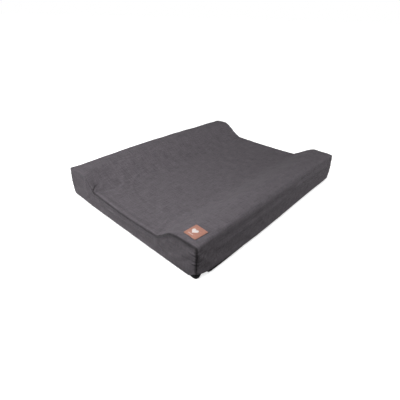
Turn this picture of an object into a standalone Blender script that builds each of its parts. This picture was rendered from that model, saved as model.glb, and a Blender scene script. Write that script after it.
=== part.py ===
"""Contoured changing pad with a fitted, elasticated textile cover.

The pad lies on its underside. X runs across the two side bolsters, Y along them, Z is up, and the
origin is under the middle of the pad. The front end is at -Y, and left and right are as seen from it.
Everything on the bare pad is in the group "pad", and the removable cover is in the group "cover".
"""

import math

import bmesh
import bpy

# Outside of the covered pad, in metres
WIDTH = 0.500
LENGTH = 0.650
CREST_HEIGHT = 0.090
TROUGH_HEIGHT = 0.049
TROUGH_DISH = 0.003  # how much the trough rises from its middle to the foot of a bolster
FOOT_X = 0.122  # where a bolster starts to rise
SHOULDER_X = 0.190  # where its flat crest starts
EDGE_RADIUS = 0.012  # the rounded outer top edge

# Sheet goods
GAP = 0.0003  # between pieces that touch
FABRIC = 0.0012
SKIN = 0.0005
WADDING = 0.003
COVER_EASE = 0.002  # between the cover and the bare pad's skin

# The turned-under hem, measured inwards from the outside edge
HEM_BOTTOM = 0.0009
UNDERLAP_WIDTH = 0.0125
BINDING_FROM = 0.006
BINDING_TO = 0.020
BINDING_THICKNESS = 0.003
BINDING_LIP = 0.0006
ELASTIC_FROM = 0.0132
ELASTIC_TO = 0.0188
ELASTIC_THICKNESS = 0.0010
HEM_CORNER_RADIUS = 0.010

# The bare pad, whose base bulges down through the opening that the hem leaves
HEM_SPACE = 0.0042  # height of the step round its edge that the hem lies in
HEM_SPACE_WIDTH = 0.024
HEM_SPACE_SLOPE = 0.003
LAP_HEIGHT = 0.008  # the base sheet is welded to the top sheet over this much of the wall
FOAM_END_CLEARANCE = 0.003
WEDGE_START = 0.006  # the bolster wedge starts this far up its slope, past the thin tip

# Air vents in the two ends
VENT_X = 0.205
VENT_HEIGHT = 0.044
VENT_BORE = 0.0017
VENT_BARREL = 0.0023
VENT_FLANGE = 0.0050
VENT_SHEET = 0.0006

# Seams and labels
ALLOWANCE_WIDTH = 0.008
ALLOWANCE_THICKNESS = 0.0010
THREAD_RADIUS = 0.0004
PATCH_SIDE = 0.038
PATCH_THICKNESS = 0.0012
PATCH_CENTRE = (0.2150, -0.2890)
PATCH_STITCH_INSET = 0.0028
LABEL_LENGTH = 0.032
LABEL_HEIGHT = 0.025
LABEL_THICKNESS = 0.00025

COVER_INSIDE = FABRIC
SKIN_OUTSIDE = FABRIC + COVER_EASE
SKIN_INSIDE = SKIN_OUTSIDE + SKIN
WADDING_MIDDLE = SKIN_INSIDE + GAP + WADDING / 2
FOAM_OUTSIDE = SKIN_INSIDE + 2 * GAP + WADDING


def clear_scene():
    for obj in list(bpy.data.objects):
        bpy.data.objects.remove(obj)


def new_collection(name):
    collection = bpy.data.collections.new(name)
    bpy.context.scene.collection.children.link(collection)
    return collection


def new_material(name, colour, roughness, metallic=0.0):
    material = bpy.data.materials.new(name)
    material.use_nodes = True
    shader = material.node_tree.nodes["Principled BSDF"]
    shader.inputs["Base Color"].default_value = (*colour, 1.0)
    shader.inputs["Roughness"].default_value = roughness
    shader.inputs["Metallic"].default_value = metallic
    return material


def new_group(name, collection):
    group = bpy.data.objects.new(name, None)
    collection.objects.link(group)
    return group


def place(name, data, material, group, collection, upright=False):
    """Adds an object. An upright one was drawn in its own XY plane as the section seen from the front."""
    obj = bpy.data.objects.new(name, data)
    data.materials.append(material)
    collection.objects.link(obj)
    obj.parent = group
    if upright:
        obj.rotation_euler = (math.pi / 2, 0, 0)
    return obj


def top_height(x):
    """Height and slope of the covered pad's top at a distance x from its middle line."""
    dish = TROUGH_DISH * min(x / FOOT_X, 1) ** 2
    rise = min(max((x - FOOT_X) / (SHOULDER_X - FOOT_X), 0), 1)
    ease = rise * rise * (3 - 2 * rise)
    foot = TROUGH_HEIGHT + TROUGH_DISH
    if x <= FOOT_X:
        return TROUGH_HEIGHT + dish, 2 * TROUGH_DISH * x / FOOT_X**2
    slope = (CREST_HEIGHT - foot) * 6 * rise * (1 - rise) / (SHOULDER_X - FOOT_X)
    return foot + (CREST_HEIGHT - foot) * ease, slope


def top_point(x, inset):
    """The point that lies inset below the top surface, square to it."""
    height, slope = top_height(x)
    length = math.hypot(1, slope)
    return x + inset * slope / length, height - inset / length


def half_section(inset, bottom, trough_steps=4, slope_steps=8, edge_steps=5):
    """The right half of the pad's cross section, inset from the outside, from the bottom to the middle."""
    centre_x = WIDTH / 2 - EDGE_RADIUS
    centre_z = CREST_HEIGHT - EDGE_RADIUS
    radius = EDGE_RADIUS - inset
    points = [(WIDTH / 2 - inset, bottom)]
    for step in range(edge_steps + 1):
        angle = math.pi / 2 * step / edge_steps
        points.append((centre_x + radius * math.cos(angle), centre_z + radius * math.sin(angle)))
    for step in range(slope_steps + 1):
        points.append(top_point(SHOULDER_X + (FOOT_X - SHOULDER_X) * step / slope_steps, inset))
    for step in range(1, trough_steps + 1):
        points.append(top_point(FOOT_X * (1 - step / trough_steps), inset))
    return points


def section(inset, bottom):
    """The whole cross section, from the bottom right over the top to the bottom left."""
    right = half_section(inset, bottom)
    left = [(-x, z) for x, z in reversed(right[:-1])]
    return right + left


def rounded_rectangle(width, length, radius, steps=5):
    points = []
    corners = ((1, 1, 0), (-1, 1, 90), (-1, -1, 180), (1, -1, 270))
    for side_x, side_y, start in corners:
        centre = (side_x * (width / 2 - radius), side_y * (length / 2 - radius))
        for step in range(steps + 1):
            angle = math.radians(start + 90 * step / steps)
            points.append((centre[0] + radius * math.cos(angle), centre[1] + radius * math.sin(angle)))
    return points


def hem_outline(inset):
    """The pad's plan outline, inset from its outside edge, or outside it if the inset is negative."""
    radius = max(HEM_CORNER_RADIUS - inset / 2, 0.002)
    return rounded_rectangle(WIDTH - 2 * inset, LENGTH - 2 * inset, radius)


def add_spline(curve, points, height=0.0, cyclic=False):
    spline = curve.splines.new("POLY")
    spline.points.add(len(points) - 1)
    for target, (x, y) in zip(spline.points, points):
        target.co = (x, y, height, 1)
    spline.use_cyclic_u = cyclic


def plate_curve(name, outlines, thickness):
    """A flat outline, or an outline with a hole in it, with a thickness."""
    curve = bpy.data.curves.new(name, "CURVE")
    curve.dimensions = "2D"
    curve.fill_mode = "BOTH"
    curve.extrude = thickness / 2
    for outline in outlines:
        add_spline(curve, outline, cyclic=True)
    return curve


def bent_strip(name, path, width, thickness, material, group, collection, upright=True):
    """A sheet bent along an open path, as wide as the path is extruded."""
    curve = bpy.data.curves.new(name, "CURVE")
    curve.dimensions = "2D"
    curve.fill_mode = "NONE"
    curve.extrude = width / 2
    add_spline(curve, path)
    obj = place(name, curve, material, group, collection, upright)
    wall = obj.modifiers.new("wall", "SOLIDIFY")
    wall.thickness = thickness
    wall.offset = 0
    wall.use_even_offset = True
    return obj


def flat_frame(name, inset_from, inset_to, bottom, thickness, material, group, collection):
    """A flat ring that follows the pad's outline."""
    outlines = [hem_outline(inset_from), hem_outline(inset_to)]
    obj = place(name, plate_curve(name, outlines, thickness), material, group, collection)
    obj.location.z = bottom + thickness / 2
    return obj


def thread(name, points, height, cyclic, material, group, collection, upright=False):
    curve = bpy.data.curves.new(name, "CURVE")
    curve.dimensions = "3D"
    curve.bevel_depth = THREAD_RADIUS
    curve.bevel_resolution = 1
    curve.use_fill_caps = not cyclic
    add_spline(curve, points, height, cyclic)
    return place(name, curve, material, group, collection, upright)


def curve_to_mesh(obj):
    """Replaces a curve object by the mesh it makes, with its caps welded, so that it can be cut."""
    graph = bpy.context.evaluated_depsgraph_get()
    mesh = bpy.data.meshes.new_from_object(obj.evaluated_get(graph))
    bm = bmesh.new()
    bm.from_mesh(mesh)
    bmesh.ops.remove_doubles(bm, verts=bm.verts, dist=0.000001)
    bmesh.ops.recalc_face_normals(bm, faces=bm.faces)
    bm.to_mesh(mesh)
    bm.free()
    made = bpy.data.objects.new(obj.name + "_mesh", mesh)
    obj.users_collection[0].objects.link(made)
    made.parent = obj.parent
    made.matrix_world = obj.matrix_world.copy()
    name = obj.name
    bpy.data.objects.remove(obj)
    made.name = name
    return made


def cut(obj, cutter):
    cutter.hide_render = True
    cutter.display_type = "WIRE"
    boolean = obj.modifiers.new("cut", "BOOLEAN")
    boolean.operation = "DIFFERENCE"
    boolean.object = cutter


def build_foam(pad, collection, cutters, material):
    """A flat slab, stepped round its lower edge, with a bolster wedge glued along each side."""
    bottom = SKIN + GAP
    length = LENGTH - 2 * (SKIN_INSIDE + FOAM_END_CLEARANCE)
    profile = half_section(FOAM_OUTSIDE, bottom)
    join_height = top_point(FOOT_X, FOAM_OUTSIDE)[1]
    trough = [point for point in profile if point[0] <= FOOT_X + FOAM_OUTSIDE and point[1] <= join_height]
    half_slab = [(profile[0][0], bottom), (profile[0][0], join_height)] + trough
    slab = half_slab + [(-x, z) for x, z in reversed(half_slab[:-1])]
    data = plate_curve("foam_slab", [slab], length)
    block = curve_to_mesh(place("foam_slab", data, material, pad, collection, upright=True))
    step_to = HEM_SPACE_WIDTH + HEM_SPACE_SLOPE + SKIN
    step_height = HEM_SPACE + SKIN + GAP
    step = flat_frame("cutter_hem_step", -0.01, step_to, -0.01, step_height + 0.01, material, pad, cutters)
    cut(block, curve_to_mesh(step))

    wedge_bottom = join_height + GAP
    rise = [point for point in profile[1:] if point[1] > wedge_bottom + WEDGE_START / 4]
    tip = rise[-1]
    wedge = [(profile[0][0], wedge_bottom), *rise, (tip[0], wedge_bottom)]
    for name, side in (("foam_bolster_right", 1), ("foam_bolster_left", -1)):
        outline = [(side * x, z) for x, z in wedge]
        place(name, plate_curve(name, [outline], length), material, pad, collection, upright=True)


def build_wadding(pad, collection, material):
    length = LENGTH - 2 * (SKIN_INSIDE + FOAM_END_CLEARANCE)
    path = section(WADDING_MIDDLE, HEM_SPACE + SKIN + GAP)
    bent_strip("wadding_sheet", path, length, WADDING, material, pad, collection)


def skin_top_mesh():
    """The pad's section pulled out to its length, open underneath."""
    outline = section(SKIN_OUTSIDE, HEM_SPACE + SKIN + GAP)
    half_length = LENGTH / 2 - SKIN_OUTSIDE
    bm = bmesh.new()
    end = bm.faces.new([bm.verts.new((x, -half_length, z)) for x, z in outline])
    pulled = bmesh.ops.extrude_face_region(bm, geom=[end])["geom"]
    moved = [item for item in pulled if isinstance(item, bmesh.types.BMVert)]
    bmesh.ops.translate(bm, verts=moved, vec=(0, 2 * half_length, 0))
    bmesh.ops.recalc_face_normals(bm, faces=bm.faces)
    underside = [face for face in bm.faces if face.normal.z < -0.9]
    bmesh.ops.delete(bm, geom=underside, context="FACES_ONLY")
    mesh = bpy.data.meshes.new("skin_top")
    bm.to_mesh(mesh)
    bm.free()
    return mesh


def vent_places():
    """Name, x and which end (-1 front, 1 back) of each air vent."""
    for end_name, end in (("front", -1), ("back", 1)):
        for side_name, side in (("left", -1), ("right", 1)):
            yield f"{end_name}_{side_name}", side * VENT_X, end


def face_outwards(obj, x, end):
    """Turns an object drawn along Z to point out of an end wall, with its origin on the skin's outside."""
    obj.location = (x, end * (LENGTH / 2 - SKIN_OUTSIDE), VENT_HEIGHT)
    obj.rotation_euler = (-end * math.pi / 2, 0, 0)


def build_skins(pad, parts, cutters, material):
    """The wipe-clean skin: a top sheet with four walls, lap-welded into a base that bulges in its middle."""
    top = place("skin_top", skin_top_mesh(), material, pad, parts)
    wall = top.modifiers.new("wall", "SOLIDIFY")
    wall.thickness = SKIN
    wall.offset = -1
    wall.use_even_offset = True
    for name, x, end in vent_places():
        bpy.ops.mesh.primitive_cylinder_add(vertices=20, radius=VENT_BARREL + GAP, depth=0.01)
        hole = bpy.context.object
        hole.name = f"cutter_vent_{name}"
        for collection in list(hole.users_collection):
            collection.objects.unlink(hole)
        cutters.objects.link(hole)
        face_outwards(hole, x, end)
        cut(top, hole)

    outside = SKIN_OUTSIDE - GAP - SKIN
    bm = bmesh.new()
    bmesh.ops.create_cube(bm, size=1)
    bmesh.ops.scale(bm, verts=bm.verts, vec=(WIDTH - 2 * outside, LENGTH - 2 * outside, LAP_HEIGHT))
    bmesh.ops.translate(bm, verts=bm.verts, vec=(0, 0, HEM_SPACE + LAP_HEIGHT / 2))
    lid = [face for face in bm.faces if face.normal.z > 0.9]
    bmesh.ops.delete(bm, geom=lid, context="FACES_ONLY")
    base_face = [face for face in bm.faces if face.normal.z < -0.9]
    bmesh.ops.inset_region(bm, faces=base_face, thickness=HEM_SPACE_WIDTH - outside, use_even_offset=True)
    bmesh.ops.inset_region(bm, faces=base_face, thickness=HEM_SPACE_SLOPE, use_even_offset=True)
    bmesh.ops.translate(bm, verts=base_face[0].verts, vec=(0, 0, -HEM_SPACE))
    mesh = bpy.data.meshes.new("skin_base")
    bm.to_mesh(mesh)
    bm.free()
    base = place("skin_base", mesh, material, pad, parts)
    sheet = base.modifiers.new("sheet", "SOLIDIFY")
    sheet.thickness = SKIN
    sheet.offset = -1
    sheet.use_even_offset = True


def turned(name, profile, material, group, collection, steps=20):
    """A ring turned about Z from a closed profile of (radius, height), outer side first, running down."""
    mesh = bpy.data.meshes.new(name)
    vertices = [(radius, 0, height) for radius, height in profile]
    edges = [(i, (i + 1) % len(profile)) for i in range(len(profile))]
    mesh.from_pydata(vertices, edges, [])
    obj = place(name, mesh, material, group, collection)
    screw = obj.modifiers.new("turn", "SCREW")
    screw.axis = "Z"
    screw.steps = steps
    screw.render_steps = steps
    screw.use_merge_vertices = True
    screw.merge_threshold = 0.00001
    return obj


def build_vents(pad, collection, material):
    """Each vent is an eyelet pushed through the skin and rolled over a washer behind it."""
    lip_top = -SKIN - GAP - VENT_SHEET - GAP
    lip_bottom = lip_top - VENT_SHEET
    eyelet = [
        (VENT_FLANGE - 0.0003, GAP + VENT_SHEET),
        (VENT_FLANGE, GAP + VENT_SHEET / 2),
        (VENT_FLANGE, GAP),
        (VENT_BARREL, GAP),
        (VENT_BARREL, lip_top),
        (VENT_BARREL + 0.0010, lip_top),
        (VENT_BARREL + 0.0010, lip_bottom),
        (VENT_BORE, lip_bottom),
        (VENT_BORE, GAP + VENT_SHEET / 2),
        (VENT_BORE + 0.0004, GAP + VENT_SHEET),
    ]
    washer = [
        (VENT_FLANGE, -SKIN - GAP),
        (VENT_FLANGE, -SKIN - GAP - VENT_SHEET),
        (VENT_BARREL + GAP, -SKIN - GAP - VENT_SHEET),
        (VENT_BARREL + GAP, -SKIN - GAP),
    ]
    for name, x, end in vent_places():
        face_outwards(turned(f"vent_eyelet_{name}", eyelet, material, pad, collection), x, end)
        face_outwards(turned(f"vent_washer_{name}", washer, material, pad, collection), x, end)


def build_cover_panels(cover, collection, material):
    """One long panel over the top and down both sides, and an end panel at each end."""
    bottom = HEM_BOTTOM + FABRIC + GAP
    end_y = LENGTH / 2 - FABRIC / 2
    path = section(FABRIC / 2, bottom)
    panel_length = LENGTH - 2 * (FABRIC + GAP)
    bent_strip("cover_top_panel", path, panel_length, FABRIC, material, cover, collection)
    for name, end in (("cover_end_panel_front", -1), ("cover_end_panel_back", 1)):
        data = plate_curve(name, [section(0, bottom)], FABRIC)
        panel = place(name, data, material, cover, collection, upright=True)
        panel.location.y = end * end_y


def build_seams(cover, collection, fabric, thread_material):
    """Inside each end: the folded seam allowance, and the overlock thread along its raw edge."""
    bottom = HEM_SPACE + LAP_HEIGHT + GAP
    inset = COVER_INSIDE + GAP + ALLOWANCE_THICKNESS / 2
    band_y = LENGTH / 2 - FABRIC - GAP - ALLOWANCE_WIDTH / 2
    thread_y = band_y - ALLOWANCE_WIDTH / 2 - GAP - THREAD_RADIUS
    for end_name, end in (("front", -1), ("back", 1)):
        band = bent_strip(
            f"seam_allowance_{end_name}",
            section(inset, bottom),
            ALLOWANCE_WIDTH,
            ALLOWANCE_THICKNESS,
            fabric,
            cover,
            collection,
        )
        band.location.y = end * band_y
        line = thread(
            f"overlock_thread_{end_name}",
            section(inset, bottom),
            0,
            False,
            thread_material,
            cover,
            collection,
            upright=True,
        )
        line.location.y = end * thread_y


def build_hem(cover, parts, cutters, materials):
    """The fabric turned under the pad, and a folded binding round its edge with the elastic inside."""
    flat_frame("cover_underlap", 0, UNDERLAP_WIDTH, HEM_BOTTOM, FABRIC, materials["fabric"], cover, parts)

    binding = flat_frame(
        "hem_binding", BINDING_FROM, BINDING_TO, 0, BINDING_THICKNESS, materials["binding"], cover, parts
    )
    binding = curve_to_mesh(binding)
    mouth = BINDING_THICKNESS - 2 * BINDING_LIP
    mouth_to = ELASTIC_TO + GAP
    mouth_from = BINDING_FROM - 0.002
    slot = flat_frame(
        "cutter_binding_fold", mouth_from, mouth_to, BINDING_LIP, mouth, materials["binding"], cover, cutters
    )
    cut(binding, curve_to_mesh(slot))

    elastic_bottom = (BINDING_THICKNESS - ELASTIC_THICKNESS) / 2
    flat_frame(
        "hem_elastic",
        ELASTIC_FROM,
        ELASTIC_TO,
        elastic_bottom,
        ELASTIC_THICKNESS,
        materials["elastic"],
        cover,
        parts,
    )
    stitch_height = BINDING_THICKNESS + GAP + THREAD_RADIUS
    stitch_path = hem_outline((BINDING_FROM + UNDERLAP_WIDTH) / 2)
    thread("hem_thread", stitch_path, stitch_height, True, materials["thread"], cover, parts)


def build_patch(cover, collection, materials):
    """The square leather patch on the crest of the right bolster, sewn down close to its edge."""
    outline = rounded_rectangle(PATCH_SIDE, PATCH_SIDE, 0.002, steps=3)
    data = plate_curve("leather_patch", [outline], PATCH_THICKNESS)
    patch = place("leather_patch", data, materials["leather"], cover, collection)
    patch.location = (*PATCH_CENTRE, CREST_HEIGHT + GAP + PATCH_THICKNESS / 2)
    side = PATCH_SIDE - 2 * PATCH_STITCH_INSET
    outline = rounded_rectangle(side, side, 0.0012, steps=2)
    stitches = thread("patch_thread", outline, 0, True, materials["thread"], cover, collection)
    stitches.location = (*PATCH_CENTRE, CREST_HEIGHT + 2 * GAP + PATCH_THICKNESS + THREAD_RADIUS)


def build_care_label(cover, collection, material):
    """A blank folded satin tag that leaves the front left corner seam, inside the cover."""
    wall_x = -(WIDTH / 2 - COVER_INSIDE)
    seam_y = -(LENGTH / 2 - FABRIC - 3 * GAP - ALLOWANCE_WIDTH - 2 * THREAD_RADIUS)
    outer_x = wall_x + GAP + LABEL_THICKNESS
    inner_x = outer_x + 2 * LABEL_THICKNESS
    middle_x = (outer_x + inner_x) / 2
    fold_y = seam_y + LABEL_LENGTH
    path = [
        (outer_x, seam_y),
        (outer_x, fold_y),
        (middle_x, fold_y + LABEL_THICKNESS),
        (inner_x, fold_y),
        (inner_x, seam_y),
    ]
    label = bent_strip(
        "care_label", path, LABEL_HEIGHT, LABEL_THICKNESS, material, cover, collection, upright=False
    )
    label.location.z = HEM_SPACE + LAP_HEIGHT + LABEL_HEIGHT


def shade_round_pieces(collection):
    for obj in collection.objects:
        if obj.type == "MESH":
            obj.data.shade_smooth()
            obj.data.set_sharp_from_angle(angle=math.radians(35))


def main():
    clear_scene()
    parts = new_collection("changing_pad")
    cutters = new_collection("cutters")
    pad = new_group("pad", parts)
    cover = new_group("cover", parts)
    materials = {
        "fabric": new_material("cover_fabric", (0.125, 0.112, 0.127), 0.9),
        "binding": new_material("black_binding", (0.012, 0.012, 0.013), 0.85),
        "elastic": new_material("white_elastic", (0.75, 0.74, 0.71), 0.7),
        "thread": new_material("grey_thread", (0.09, 0.082, 0.09), 0.8),
        "leather": new_material("tan_leather", (0.45, 0.21, 0.14), 0.6),
        "label": new_material("white_satin", (0.85, 0.85, 0.83), 0.45),
        "skin": new_material("white_skin", (0.82, 0.82, 0.8), 0.4),
        "foam": new_material("foam", (0.86, 0.82, 0.66), 0.95),
        "wadding": new_material("wadding", (0.9, 0.9, 0.89), 0.95),
        "vent": new_material("nickel_vent", (0.62, 0.61, 0.59), 0.3, 1.0),
    }
    build_foam(pad, parts, cutters, materials["foam"])
    build_wadding(pad, parts, materials["wadding"])
    build_skins(pad, parts, cutters, materials["skin"])
    build_vents(pad, parts, materials["vent"])
    build_cover_panels(cover, parts, materials["fabric"])
    build_seams(cover, parts, materials["fabric"], materials["thread"])
    build_hem(cover, parts, cutters, materials)
    build_patch(cover, parts, materials)
    build_care_label(cover, parts, materials["label"])
    shade_round_pieces(parts)


main()
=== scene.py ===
import math
import bmesh
import bpy
import numpy as np
from mathutils import Matrix, Vector, noise


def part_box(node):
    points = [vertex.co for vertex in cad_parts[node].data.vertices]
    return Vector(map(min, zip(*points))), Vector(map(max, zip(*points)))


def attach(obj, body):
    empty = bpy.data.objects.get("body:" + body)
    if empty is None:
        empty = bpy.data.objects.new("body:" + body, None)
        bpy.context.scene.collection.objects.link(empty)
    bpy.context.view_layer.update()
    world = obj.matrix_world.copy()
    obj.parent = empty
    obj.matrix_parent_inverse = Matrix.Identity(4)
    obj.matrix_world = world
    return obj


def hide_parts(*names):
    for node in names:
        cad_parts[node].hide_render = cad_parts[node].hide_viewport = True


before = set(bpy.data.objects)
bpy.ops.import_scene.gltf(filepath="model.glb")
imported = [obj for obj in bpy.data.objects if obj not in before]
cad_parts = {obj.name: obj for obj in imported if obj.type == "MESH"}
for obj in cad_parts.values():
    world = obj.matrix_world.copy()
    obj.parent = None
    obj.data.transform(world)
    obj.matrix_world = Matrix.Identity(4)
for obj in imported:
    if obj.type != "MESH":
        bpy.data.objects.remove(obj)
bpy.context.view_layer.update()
scene = bpy.context.scene

def smooth(t):  # eases from 0 to 1
    t = np.clip(t, 0, 1)
    return t * t * (3 - 2 * t)


def bell(t):  # 1 at 0, and falls away on both sides
    return np.exp(-(t**2))


def between(a, b, share):
    return a + (b - a) * share


def addNode(tree, kind, links=None, **settings):
    node = tree.nodes.new(kind)
    for name, value in settings.items():
        setattr(node, name, value)
    for key, value in (links or {}).items():
        if isinstance(value, bpy.types.NodeSocket):
            tree.links.new(value, node.inputs[key])
        else:
            node.inputs[key].default_value = value
    return node


def maths(tree, operation, a, b=None, clamp=False):
    links = {0: a} if b is None else {0: a, 1: b}
    return addNode(tree, "ShaderNodeMath", links, operation=operation, use_clamp=clamp).outputs[0]


def newGroup(name, kind, takes, gives):
    # sockets are given as name: (type, value)
    tree = bpy.data.node_groups.new(name, kind)
    for side, sockets in (("INPUT", takes), ("OUTPUT", gives)):
        for label, (socketType, value) in sockets.items():
            socket = tree.interface.new_socket(label, in_out=side, socket_type="NodeSocket" + socketType)
            if value is not None:
                socket.default_value = value
    return tree, tree.nodes.new("NodeGroupInput").outputs, tree.nodes.new("NodeGroupOutput").inputs


def gridFaces(rows, cols, flip=False):
    index = np.arange(rows * cols).reshape(rows, cols)
    quads = np.stack([index[:-1, :-1], index[:-1, 1:], index[1:, 1:], index[1:, :-1]], -1).reshape(-1, 4)
    return quads[:, ::-1] if flip else quads


def ringFaces(loops, count, closedAcross=False, flip=False):
    # faces between closed loops of points
    index = np.arange(loops * count).reshape(loops, count)
    if closedAcross:
        index = np.concatenate([index, index[:1]])
    after = np.roll(index, -1, axis=1)
    quads = np.stack([index[:-1], after[:-1], after[1:], index[1:]], -1).reshape(-1, 4)
    return quads[:, ::-1] if flip else quads


def cappedFaces(loops, count, first=0):
    # the same with one face over each end
    ends = [list(range((loops - 1) * count, loops * count)), list(range(count))[::-1]]
    return [[first + i for i in face] for face in ringFaces(loops, count).tolist() + ends]


def addObject(name, data):
    made = bpy.data.objects.new(name, data)
    scene.collection.objects.link(made)
    return made


def makePiece(name, points, faces, material, uv=None, values=None):
    mesh = bpy.data.meshes.new(name)
    mesh.from_pydata([tuple(p) for p in np.asarray(points, float)], [], [tuple(int(i) for i in f) for f in faces])
    mesh.materials.append(material)
    if uv is not None:
        layer = mesh.uv_layers.new(name="cloth")
        loops = np.zeros(len(mesh.loops), np.int32)
        mesh.loops.foreach_get("vertex_index", loops)
        layer.data.foreach_set("uv", np.asarray(uv, np.float32)[loops].ravel())
    for label, column in (values or {}).items():
        mesh.attributes.new(label, "FLOAT", "POINT").data.foreach_set("value", np.asarray(column, np.float32))
    mesh.shade_smooth()
    return addObject(name, mesh)


def tidyNormals(piece, merge=0.00001):
    bm = bmesh.new()
    bm.from_mesh(piece.data)
    bmesh.ops.remove_doubles(bm, verts=bm.verts, dist=merge)
    bmesh.ops.recalc_face_normals(bm, faces=bm.faces)
    bm.to_mesh(piece.data)
    bm.free()
    return piece


def thicken(piece, thickness, offset=-1):
    wall = piece.modifiers.new("wall", "SOLIDIFY")
    wall.thickness = thickness
    wall.offset = offset
    wall.use_even_offset = False
    return piece


def dress(piece, body, slotName, *replaced):
    if replaced:
        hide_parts(*replaced)
    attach(piece, body)
    return piece


def runAlong(line):
    # distance run along a line at each of its points
    return np.concatenate([[0], np.cumsum(np.linalg.norm(np.diff(line, axis=0), axis=1))])


def pickAlong(at, run, line):
    # points of a line at the given distances along it
    return np.stack([np.interp(at, run, line[:, k]) for k in (0, 1)], 1)


def standing(flat, y):
    # points of x and z, stood up at y
    return np.stack([flat[..., 0], np.broadcast_to(y, flat.shape[:-1]), flat[..., 1]], -1)


def atHeight(plan, z):
    return np.column_stack([plan, np.full(len(plan), z)])


def ripple(at, size, *seed):
    # smooth noise along a line
    return np.array([noise.noise(Vector((t / size, *seed))) for t in at])


print("helpers ready")

# the pad's shape, which every piece follows
padShape = {
    "halfWidth": 0.250,
    "halfLength": 0.325,
    "crest": 0.090,
    "trough": 0.049,
    "dish": 0.003,
    "foot": 0.118,
    "shoulder": 0.200,
    "edge": 0.014,  # radius of the rounded outer top edge
    "sharpEnds": 0.80,  # how much of that rounding the end seams pull out
    "sharpReach": 0.090,
    "crown": (0.0125, 0.005),  # how far the left and right bolsters rise at mid length
    "bulge": (0.002, 0.004),  # how far the left and right sides swell
    "cornerBulge": 0.0080,  # and by the front left corner
    "backBulge": 0.5,  # the share of it by the back right corner
    "cornerBulgeReach": 0.07,
    "lowBulge": 0.0048,  # and the foot of the right side, below this height and at these distances from its front
    "lowHeight": 0.06,
    "lowSpan": (0.05, 0.22, 0.57),
    "footRadius": 0.0028,  # rounding of the lower edge
    "cornerRadius": 0.010,  # and of the lower corners, where the elastic pulls in
    "frontRightRadius": 0.0040,  # the same at the front right, where it pulls less
    "cornerReach": 0.085,
}
# how far each bolster's foot and shoulder lie from the plain shape: at the front, in the middle and at the back
bolsterShift = {
    "left": ((0.010, -0.024), (-0.022, 0.022), (-0.003, 0.004)),
    "right": ((0.002, -0.014), (-0.020, 0.012), (-0.006, -0.006)),
    "frontReach": 0.050,
    "backReach": 0.110,
}
# soft rises and hollows in the top: x, y, spread in x, spread in y, height
padDimples = (
    (0.010, -0.325, 0.100, 0.060, -0.0035),
    (-0.098, -0.325, 0.036, 0.060, 0.0032),
    (0.194, -0.308, 0.014, 0.030, -0.0034),
    (-0.228, -0.325, 0.045, 0.090, 0.0034),
    (0.000, 0.325, 0.200, 0.120, 0.0090),
    (-0.215, 0.325, 0.060, 0.100, 0.0062),
    (-0.030, 0.060, 0.070, 0.120, -0.0012),
    (0.060, 0.190, 0.060, 0.070, 0.0010),
)
# the lower edge rides up at the front right corner, and less along the right side next to it
footRaise = {"corner": 0.0084, "cornerReach": 0.014, "side": 0.0078, "sideReach": 0.150, "fade": 0.046}


def topHeight(x):
    s = padShape
    x = np.abs(x)
    rise = smooth((x - s["foot"]) / (s["shoulder"] - s["foot"]))
    floor = s["trough"] + s["dish"] * (np.minimum(x, s["foot"]) / s["foot"]) ** 2
    return floor + (s["crest"] - floor) * rise


def sectionLine(inset=0.0, bottom=0.0, steps=1600):
    # dense outline of the pad's cross section, from the right foot over the top to the left foot
    s = padShape
    centre = s["halfWidth"] - s["edge"], s["crest"] - s["edge"]
    angle = np.linspace(0, math.pi / 2, 80)
    wall = np.stack([np.full(80, s["halfWidth"]), np.linspace(bottom, centre[1], 80)], 1)
    arc = np.stack([centre[0] + s["edge"] * np.cos(angle), centre[1] + s["edge"] * np.sin(angle)], 1)
    x = np.linspace(centre[0], 0, 500)
    half = np.concatenate([wall[:-1], arc[:-1], np.stack([x, topHeight(x)], 1)])
    line = np.concatenate([half, (half * [-1, 1])[-2::-1]])
    if inset:
        along = np.gradient(line, axis=0)
        along /= np.maximum(np.linalg.norm(along, axis=1, keepdims=True), 1e-12)
        line = line - inset * np.stack([along[:, 1], -along[:, 0]], 1)
        line[:, 1] = np.maximum(line[:, 1], bottom)
    run = runAlong(line)
    at = np.linspace(0, run[-1], steps)
    return at, pickAlong(at, run, line)


def footRise(x, y):
    s, f = padShape, footRaise
    toCorner = np.hypot(s["halfWidth"] - x, s["halfLength"] + y)
    side = f["side"] * bell((s["halfLength"] + y) / f["sideReach"]) * smooth((x - 0.232) / 0.014)
    return f["corner"] * bell(toCorner / f["cornerReach"]) + side


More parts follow.
